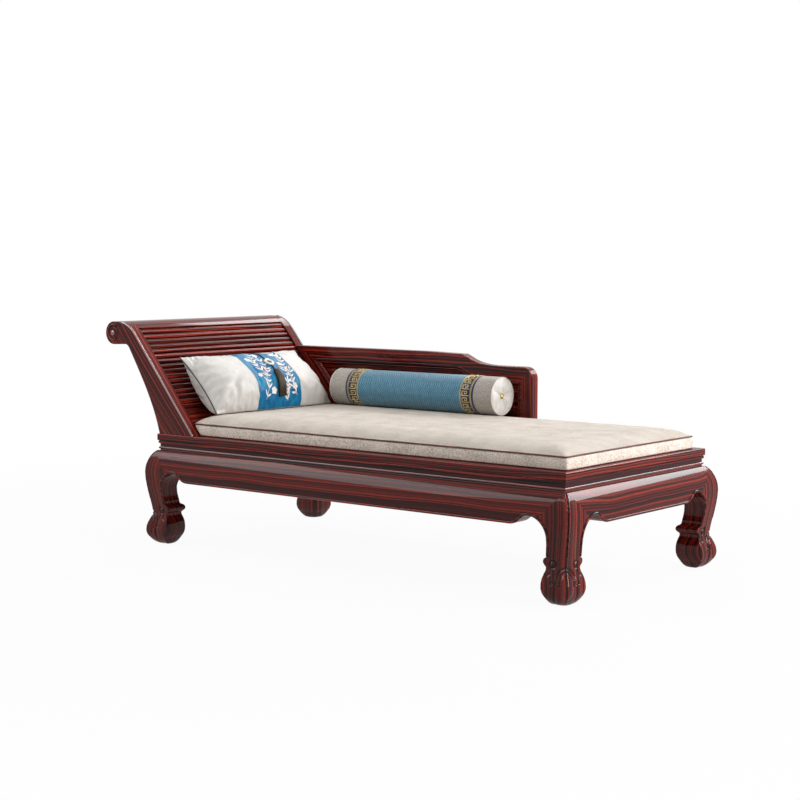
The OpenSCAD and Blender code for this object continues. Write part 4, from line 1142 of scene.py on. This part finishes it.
def build_pillow():
    even = np.linspace(0, 1, LEFT_N + 1)
    start = (np.sin(math.pi / 2 * even - math.pi / 2) + 1) * 0.4 + 0.6 * even
    end = np.interp(np.linspace(0, 1, RIGHT_N + 1), even, 1 - start[::-1])
    middle = np.linspace(0, 1, MID_N + 1)
    cols_n = LEFT_N + MID_N + RIGHT_N
    verts, faces, indices, flat, seams = [], [], [], [], []
    front, behind = {}, {}
    for j, v in enumerate(spaced(ROWS_N, 0.55)):
        a, b = (band_edge(edge, v) for edge in BAND_EDGES)
        columns = [*(-1 + (a + 1) * start), *(a + (b - a) * middle)[1:], *(b + (1 - b) * end)[1:]]
        for i, u in enumerate(columns):
            seam = i in (0, cols_n) or j in (0, ROWS_N)
            for side, ids in ((1, front), (-1, behind)):
                if side < 0 and seam:
                    ids[i, j] = front[i, j]
                    seams.append(front[i, j])
                else:
                    ids[i, j] = len(verts)
                    verts.append(pressed(pillow_point(u, v, side)))
                    flat.append((u * PILLOW_W / 2 * MM, v * PILLOW_H / 2 * MM, side < 0))
    for j in range(ROWS_N):
        for i in range(cols_n):
            # Seen from the front +Y is to the right, so this order faces out
            faces.append((front[i, j], front[i + 1, j], front[i + 1, j + 1], front[i, j + 1]))
            faces.append((behind[i, j], behind[i, j + 1], behind[i + 1, j + 1], behind[i + 1, j]))
            indices += [1 if LEFT_N <= i < LEFT_N + MID_N else 0, 0]
    pillow = make_object("pillow_case", (verts, faces), [satin(), band_satin()], indices)
    give(pillow.data, "flat", flat)
    inflate(pillow, sorted(seams))
    modifier(pillow, "SUBSURF", levels=1, render_levels=1)
    hold(pillow, "pillow", "satin", "pillow")
    return pillow


pillow_tree = tree_of(build_pillow())


def on_pillow(y, s, up):
    """A point up mm above the pillow's face, y and s mm across and up from its middle."""
    start = PILLOW_C + (PILLOW_U * y + PILLOW_V * s + PILLOW_N * 200) * MM
    hit, normal, _, _ = pillow_tree.ray_cast(start, -PILLOW_N)
    if hit is None:
        hit, normal, _, _ = pillow_tree.find_nearest(start - PILLOW_N * 0.2)
    return hit + normal * up * MM, normal


def build_pillow_trim():
    welt = plain_cloth("welt_cord", (34, 30, 34), (62, 56, 58), 1.0, 0.5)
    seams = [[pressed(pillow_point(u, v, 1)) for v in spaced(70, 0.2)] for u in (-1, 1)]
    cords("pillow_welts", seams, WELT_R, welt, 8, "pillow", "satin")
    edging = plain_cloth("edging_cord", (226, 216, 190), (244, 238, 220), 0.8, 0.5)
    lines = [[on_pillow(*drawn(band_edge(edge, v), v), 0.2)[0] for v in spaced(90, 0.4)[1:-1]]
             for edge in BAND_EDGES]
    cords("pillow_edging", lines, EDGING_R, edging, 8, "pillow", "satin")


# The embroidery's twigs as start, bend and end, and its blossoms as place and radius, in
# millimetres across and up from the pillow's middle
TWIGS = (((-62, -118), (-20, -60), (-38, 10)), ((-32, -40), (0, -10), (6, 62)),
         ((-38, 10), (-44, 50), (-4, 104)), ((108, -112), (70, -70), (112, -14)),
         ((92, -48), (70, -10), (118, 50)), ((118, 50), (128, 80), (112, 112)),
         ((60, -124), (50, -96), (68, -62)))
BLOSSOMS = ((-50, 62, 15), (12, 88, 13), (-14, -92, 14), (86, 22, 13), (100, -86, 13),
            (-60, -30, 11), (104, 86, 12))


def leaf(y, s, turn, length, width):
    """One embroidered leaf or petal, domed along its middle, laid on the pillow."""
    n = 7
    c, d = math.cos(math.radians(turn)), math.sin(math.radians(turn))
    verts = []
    for i in range(n + 1):
        x = length * (i / n)
        half = width / 2 * math.sin(math.pi * (i / n) ** 0.8) ** 0.8 if 0 < i < n else 0.15
        for w, up in ((-half, 0.25), (0.0, 0.75), (half, 0.25)):
            verts.append(on_pillow(y + x * c - w * d, s + x * d + w * c, up)[0])
    return verts, [(a, a + 3, a + 4, a + 1) for i in range(n) for a in (3 * i, 3 * i + 1)]


def build_sprays():
    """A generic design of plum sprays: bent twigs with leaf pairs and five-petalled blossoms."""
    leaves, twigs = [], []
    for a, b, c in TWIGS:
        line = [tuple((1 - t) ** 2 * a[k] + 2 * t * (1 - t) * b[k] + t * t * c[k] for k in (0, 1))
                for t in np.linspace(0, 1, 16)]
        twigs.append([on_pillow(y, s, 0.3)[0] for y, s in line])
        for k in range(1, 16, 3):
            (y0, s0), (y1, s1) = line[k - 1], line[k]
            heading = math.degrees(math.atan2(s1 - s0, y1 - y0))
            leaves += [leaf(y1, s1, heading + side * (30 + 9 * (k % 4)), 21 + 3.2 * (k % 5), 6.2)
                       for side in (-1, 1)]
        leaves.append(leaf(*line[-1], heading, 24, 6.5))
    leaves += [leaf(y, s, 90 + 72 * k + 9 * r, r, r * 0.9) for y, s, r in BLOSSOMS
               for k in range(5)]
    thread = plain_cloth("embroidery", (222, 202, 190), (246, 240, 232), 0.7, 0.45)
    piece("pillow_sprays", joined(leaves), thread, "pillow", "satin")
    cords("pillow_twigs", twigs, TWIG_R, thread, 6, "pillow", "satin")


# The pendant: the ring's place and sizes, and the tassel's bound head over its flat skirt
RING_V, RING_R, RING_SEC = 0.24, 16, 4.5
HEAD_STATIONS, SKIRT_STATIONS = np.linspace(-0.10, -0.17, 8), np.linspace(-0.185, -0.79, 40)
TASSEL_UP, TASSEL_THICK = 5.6, 5.0
# The cord's two strands: their radius, how far out of the middle they wind, and their spans
# above and below the ring, with the turns in each
STRAND_R, STRAND_OUT = 1.4, 0.9
RING_REACH = (RING_R + RING_SEC) / (PILLOW_H / 2) - 0.06
CORD_SPANS = ((RING_V + RING_REACH, 0.985, 9), (-0.12, RING_V - RING_REACH, 4))


def on_face(v, up):
    """A point of the pendant's line down the pillow's face."""
    return on_pillow(*drawn(0.11 + 0.04 * v, v), up)


def tassel_ring(k, v, count):
    """A ring of the tassel: a rounded box in section, grooved by its threads."""
    p, normal = on_face(v, TASSEL_UP)
    t = k / (count - 1)
    wide, ripple = 15 + 3.5 * smooth((t - 0.15) * 3) + 1.2 * t, 0.9
    if k < len(HEAD_STATIONS):
        wide, ripple = 8 + 5 * math.sin(math.pi * k / 7), 0.3
    ring = []
    for i, a in enumerate(circle(72)):
        c, s = math.cos(a), math.sin(a)
        shape = (abs(c) ** 4 + abs(s) ** 4) ** -0.25
        groove = ripple * abs(math.sin(a * 16 + 0.6 * math.sin(9 * t)))
        drop = 3.0 * waver(i * 7.0, 0, 0, 9, 7) if k == count - 1 else 0.0
        x, y = (wide - groove) * c * shape, (TASSEL_THICK - groove) * s * shape
        ring.append(p + (PILLOW_U * x + normal * y - PILLOW_V * drop) * MM)
    return ring


def build_pendant():
    """The cord, the jade ring and the tassel that hang down the pillow's face."""
    silk = flecked_silk()
    dark = plain_cloth("dark_cord", (20, 14, 10), (44, 30, 20), 1.2, 0.6, 0.0)
    strands = []
    for phase in (0, math.pi):
        for v0, v1, turns in CORD_SPANS:
            line = []
            for t in np.linspace(0, 1, 60):
                p, n = on_face(v0 + (v1 - v0) * t, 2.0)
                a = phase + 2 * math.pi * turns * t
                line.append(p + (PILLOW_U * math.cos(a) + n * math.sin(a)) * STRAND_OUT * MM)
            strands.append(line)
    cords("pendant_cord", strands, STRAND_R, dark, 8, "pillow", "tassel")
    centre, normal = on_face(RING_V, RING_SEC + 0.4)
    up_dir = normal.cross(PILLOW_U).normalized()
    hoop = [centre + (PILLOW_U * math.cos(a) + up_dir * math.sin(a)) * RING_R * MM
            for a in circle(64)]
    cords("pendant_ring", [hoop], RING_SEC, glossy_stone(), 20, "pillow", "tassel", closed=True)
    stations = [*HEAD_STATIONS, *SKIRT_STATIONS]
    rings = [tassel_ring(k, v, len(stations)) for k, v in enumerate(stations)]
    piece("pendant_tassel", skin(rings), silk, "pillow", "tassel", "pillow_pendant")


build_pillow_trim()
build_sprays()
build_pendant()


# ---- Bolster -------------------------------------------------------------------------------

bolster_lo, bolster_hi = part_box("bolster")
BOLSTER_C = (bolster_lo + bolster_hi) / 2
BOLSTER_R = (bolster_hi.z - bolster_lo.z) / 2 / MM
BOLSTER_HALF = 775 / 2
BOLSTER_SIDES = 144
CAP_OUT = 9
# Widths of the cloth bands from each end to the middle, in millimetres
END_BAND, NAVY_BAND, KEY_BAND = 80.5, 12, 49
KEY_0 = END_BAND + NAVY_BAND
KEY_1 = KEY_0 + KEY_BAND
# Distances of the roll's rings from its end, and the end faces' rings as shares of its radius
ROLL_STEPS = (0, 1.2, 3, 6, 10, 16, 24, 34, 46, 58, 70, END_BAND - 1.2, END_BAND, END_BAND + 1.0,
              END_BAND + 6, KEY_0 - 1, KEY_0, *np.linspace(KEY_0, KEY_1, 12)[1:], KEY_1 + 1.2,
              *np.linspace(KEY_1 + 10, BOLSTER_HALF, 26))
CAP_RINGS = (0.985, 0.95, 0.9, 0.83, 0.75, 0.66, 0.57, 0.48, 0.39, 0.31, 0.24, 0.18, 0.12, 0.06)
# One fret of the key pattern, as shares of its pitch round the roll and of its width along
FRET = ((0.0, 0.0), (0.0, 1.0), (0.72, 1.0), (0.72, 0.3), (0.3, 0.3), (0.3, 0.62), (0.5, 0.62))
FRETS = 18
KEY_R, END_WELT_R = 1.6, 1.3
# The gold rings beside the frets, as distance from the end and radius
GOLD_RINGS = ((KEY_0 - 1.5, 1.1), (KEY_0 + 3, 0.8), (KEY_1 - 1.2, 1.3), (KEY_1 - 5.5, 0.7))
BUTTON = ((9.5, -1.0), (9.5, 1.2), (8.6, 2.4), (7.4, 2.2), (6.8, 1.2), (6.0, 1.6), (4.5, 3.2),
          (2.4, 4.2), (0.4, 4.5))


def on_roll(x, a, r):
    """A point of the bolster: x mm along it, a radians round, r mm from its axis."""
    return BOLSTER_C + Vector((x, -math.cos(a) * r, math.sin(a) * r)) * MM


def roll_radius(x, a):
    """Radius of the bolster's side, drawn in at its seams and a little raised on its bands."""
    inner = BOLSTER_HALF - abs(x)
    r = BOLSTER_R - 0.5
    r -= 2.6 * math.exp(-inner / 3.0)
    # Gathers that run in from the end seams, and a slight unevenness of the filling
    gather = 1.1 * math.exp(-inner / 26) * waver(a * 60, 0, math.copysign(50, x), 11, 3)
    r += min(0.4, gather + 0.6 * waver(x, a * 70, 0, 60, 9)) - 0.3
    return r + 0.35 if END_BAND <= inner <= KEY_1 else r


def build_bolster():
    n = BOLSTER_SIDES
    xs = [s - BOLSTER_HALF for s in ROLL_STEPS] + [BOLSTER_HALF - s for s in ROLL_STEPS[-2::-1]]
    looks = [brushed_weave(), plain_cloth("navy_band", (20, 28, 66), (34, 44, 92)),
             plain_cloth("key_ground", (20, 26, 54), (36, 42, 76)), herringbone(),
             plain_cloth("cap_satin", (206, 202, 196), (232, 229, 224), 1.4, 0.45)]
    rings = [[on_roll(x, a, roll_radius(x, a)) for a in circle(n)] for x in xs]
    verts, faces = skin(rings, False, False)
    flat = [(x * MM, a * BOLSTER_R * MM, 0) for x in xs for a in circle(n)]
    indices = []
    for x0, x1 in zip(xs, xs[1:]):
        inner = BOLSTER_HALF - abs((x0 + x1) / 2)
        indices += [sum(inner >= edge for edge in (END_BAND, KEY_0, KEY_1))] * n
    # The two ends: puffed lobes drawn in to the button
    for sign, last in ((-1, 0), (1, (len(xs) - 1) * n)):
        caps = []
        for t in CAP_RINGS:
            row = len(verts)
            for a in circle(n):
                lobe = abs(math.cos(2.5 * a + 0.5)) ** 0.7
                puff = math.sin(math.pi * min(1, t ** 1.25)) ** 0.7
                out = CAP_OUT * puff * (0.1 + 0.9 * lobe) - 6.5 * (1 - t) ** 3
                out += 0.5 * waver(a * 40, t * 60, 0, 12, 5) * puff
                verts.append(on_roll(sign * (BOLSTER_HALF + min(out, CAP_OUT)), a,
                                     (BOLSTER_R - 3.2) * t))
                flat.append((t * 0.07, a * BOLSTER_R * MM, 0))
            caps += [(last + k, last + (k + 1) % n, row + (k + 1) % n, row + k) for k in range(n)]
            last = row
        caps.append(range(last, last + n))
        faces += caps if sign > 0 else [face[::-1] for face in caps]
        indices += [4] * len(caps)
    roll = make_object("bolster_roll", (verts, faces), looks, indices)
    give(roll.data, "flat", flat)
    hold(roll, "bolster", "brocade", "bolster")


def roll_hoop(x, r):
    return [on_roll(x, a, r) for a in circle(120)]


def build_bolster_trim():
    gold = plain_cloth("gold_thread", (202, 170, 92), (246, 226, 164), 0.8, 0.4, 0.3)
    cream = plain_cloth("cream_cord", (214, 206, 188), (240, 234, 220), 0.9, 0.5)
    pitch = 2 * math.pi / FRETS
    gold_rings, keys = [], []
    for sign in (-1, 1):
        gold_rings += [tube(roll_hoop(sign * (BOLSTER_HALF - inner), BOLSTER_R - 0.5), r * MM, 8,
                            True) for inner, r in GOLD_RINGS]
        for k in range(FRETS):
            line = [(pitch * (k + 0.04 + 0.9 * u) * BOLSTER_R, KEY_0 + 8 + (KEY_BAND - 19) * w)
                    for u, w in FRET]
            path = [on_roll(sign * (BOLSTER_HALF - x), a / BOLSTER_R, BOLSTER_R - 0.45)
                    for a, x in resample(line, 2.0)]
            keys.append(tube(path, KEY_R * MM, 6))
    piece("bolster_key_threads", joined(gold_rings + keys), gold, "bolster", "brocade")
    welts = [roll_hoop(sign * (BOLSTER_HALF + 0.4), BOLSTER_R - 1.9) for sign in (-1, 1)]
    cords("bolster_welts", welts, END_WELT_R, cream, 8, "bolster", "brocade", closed=True)


def build_buttons():
    buttons = []
    for sign in (-1, 1):
        verts, faces = skin([[on_roll(sign * (BOLSTER_HALF + 0.5 + h), a, r) for a in circle(40)]
                             for r, h in BUTTON], first=False)
        buttons.append((verts, faces if sign > 0 else [face[::-1] for face in faces]))
    piece("bolster_gilt_buttons", joined(buttons), gilt(), "bolster", "gilt", "bolster_buttons")


build_bolster()
build_bolster_trim()
build_buttons()


# ---- Floor, light and background -----------------------------------------------------------

# The surround's level for rays that only carry light; all others see it as white
AMBIENT = 0.2
WHITE_RAYS = ("Is Glossy Ray", "Is Camera Ray", "Is Transmission Ray")
FLOOR_SIZE = 30
# Distances over which the floor's share of plain white rises, and that share, near and far
FADE_NEAR, FADE_FAR, WHITE_NEAR, WHITE_FAR = 1.6, 3.6, 0.95, 1.0
# The lamps: place, the point they face, width and height in metres, and radiance
LAMPS = {
    "softbox_left": ((-2.6, -2.1, 2.8), (0.1, 0, 0.4), (3.0, 1.8), 4.4),
    "overhead": ((0.2, -1.0, 3.3), (-0.2, 0, 0.4), (0.7, 1.5), 5.4),
    "fill_camera": ((2.2, -4.6, 2.4), (0.1, 0, 0.4), (3.0, 2.0), 1.3),
    "key_right": ((4.5, 0.5, 2.2), (0.4, 0, 0.4), (1.7, 1.7), 16.0),
    "panel_rear_right": ((2.6, 4.7, 3.5), (0.9, 0, 0.35), (5.0, 1.7), 11.0),
    "panel_rear_high": ((-1.6, 3.3, 3.2), (-0.9, 0, 0.7), (2.0, 1.0), 9.0)}


def build_floor():
    """A pale floor, which the camera, gloss and glass see as white outside its shadow."""
    look = Look("studio_floor")
    seen = look.node("LightPath").outputs
    shown = 0.0
    for ray in WHITE_RAYS:
        shown = look.add(shown, seen[ray])
    # Near the object the floor shows a little of its own shading, so its shadow stays
    away = look.vector("LENGTH", look.place, (0, 0, 0))
    share = look.remap(away, FADE_NEAR, FADE_FAR, WHITE_NEAR, WHITE_FAR)
    look.finish(look.remap(look.noise(look.place, 3.0), 0.3, 0.7, 0.49, 0.51), 0.9)
    glow = look.node("Emission", {"Color": (1, 1, 1, 1), "Strength": 1.0})
    mixed = look.node("MixShader", {0: look.mul(shown, share), 1: look.bsdf.outputs[0],
                                    2: glow.outputs[0]})
    look.put(look.tree.nodes["Material Output"].inputs["Surface"], mixed.outputs[0])
    corners = [(sx * FLOOR_SIZE, sy * FLOOR_SIZE, 0)
               for sx, sy in ((-1, -1), (1, -1), (1, 1), (-1, 1))]
    floor = make_object("floor", (corners, [(0, 1, 2, 3)]), look.mat)


def build_world():
    """A surround that is white to look at and gives a low, even light."""
    scene.world = bpy.data.worlds.new("studio")
    scene.world.use_nodes = True
    nodes = Nodes(scene.world.node_tree)
    background = nodes.tree.nodes["Background"]
    background.inputs["Color"].default_value = (1, 1, 1, 1)
    path = nodes.node("LightPath").outputs
    level = AMBIENT
    for ray in WHITE_RAYS:
        level = nodes.mad(path[ray], 1 - AMBIENT, level)
    nodes.put(background.inputs["Strength"], level)


def area_light(name, place, aim, size, radiance):
    """A softbox. Its power follows from how bright its face is to be."""
    lamp = linked(name, bpy.data.lights.new(name, "AREA"))
    lamp.data.shape = "RECTANGLE"
    lamp.data.size, lamp.data.size_y = size
    lamp.data.energy = radiance * math.pi * size[0] * size[1]
    lamp.location = place
    lamp.rotation_euler = (Vector(aim) - Vector(place)).to_track_quat("-Z", "Y").to_euler()
    lamp.visible_camera = False


build_floor()
build_world()
for lamp_name, lamp_values in LAMPS.items():
    area_light(lamp_name, *lamp_values)
scene.view_settings.view_transform = "Standard"
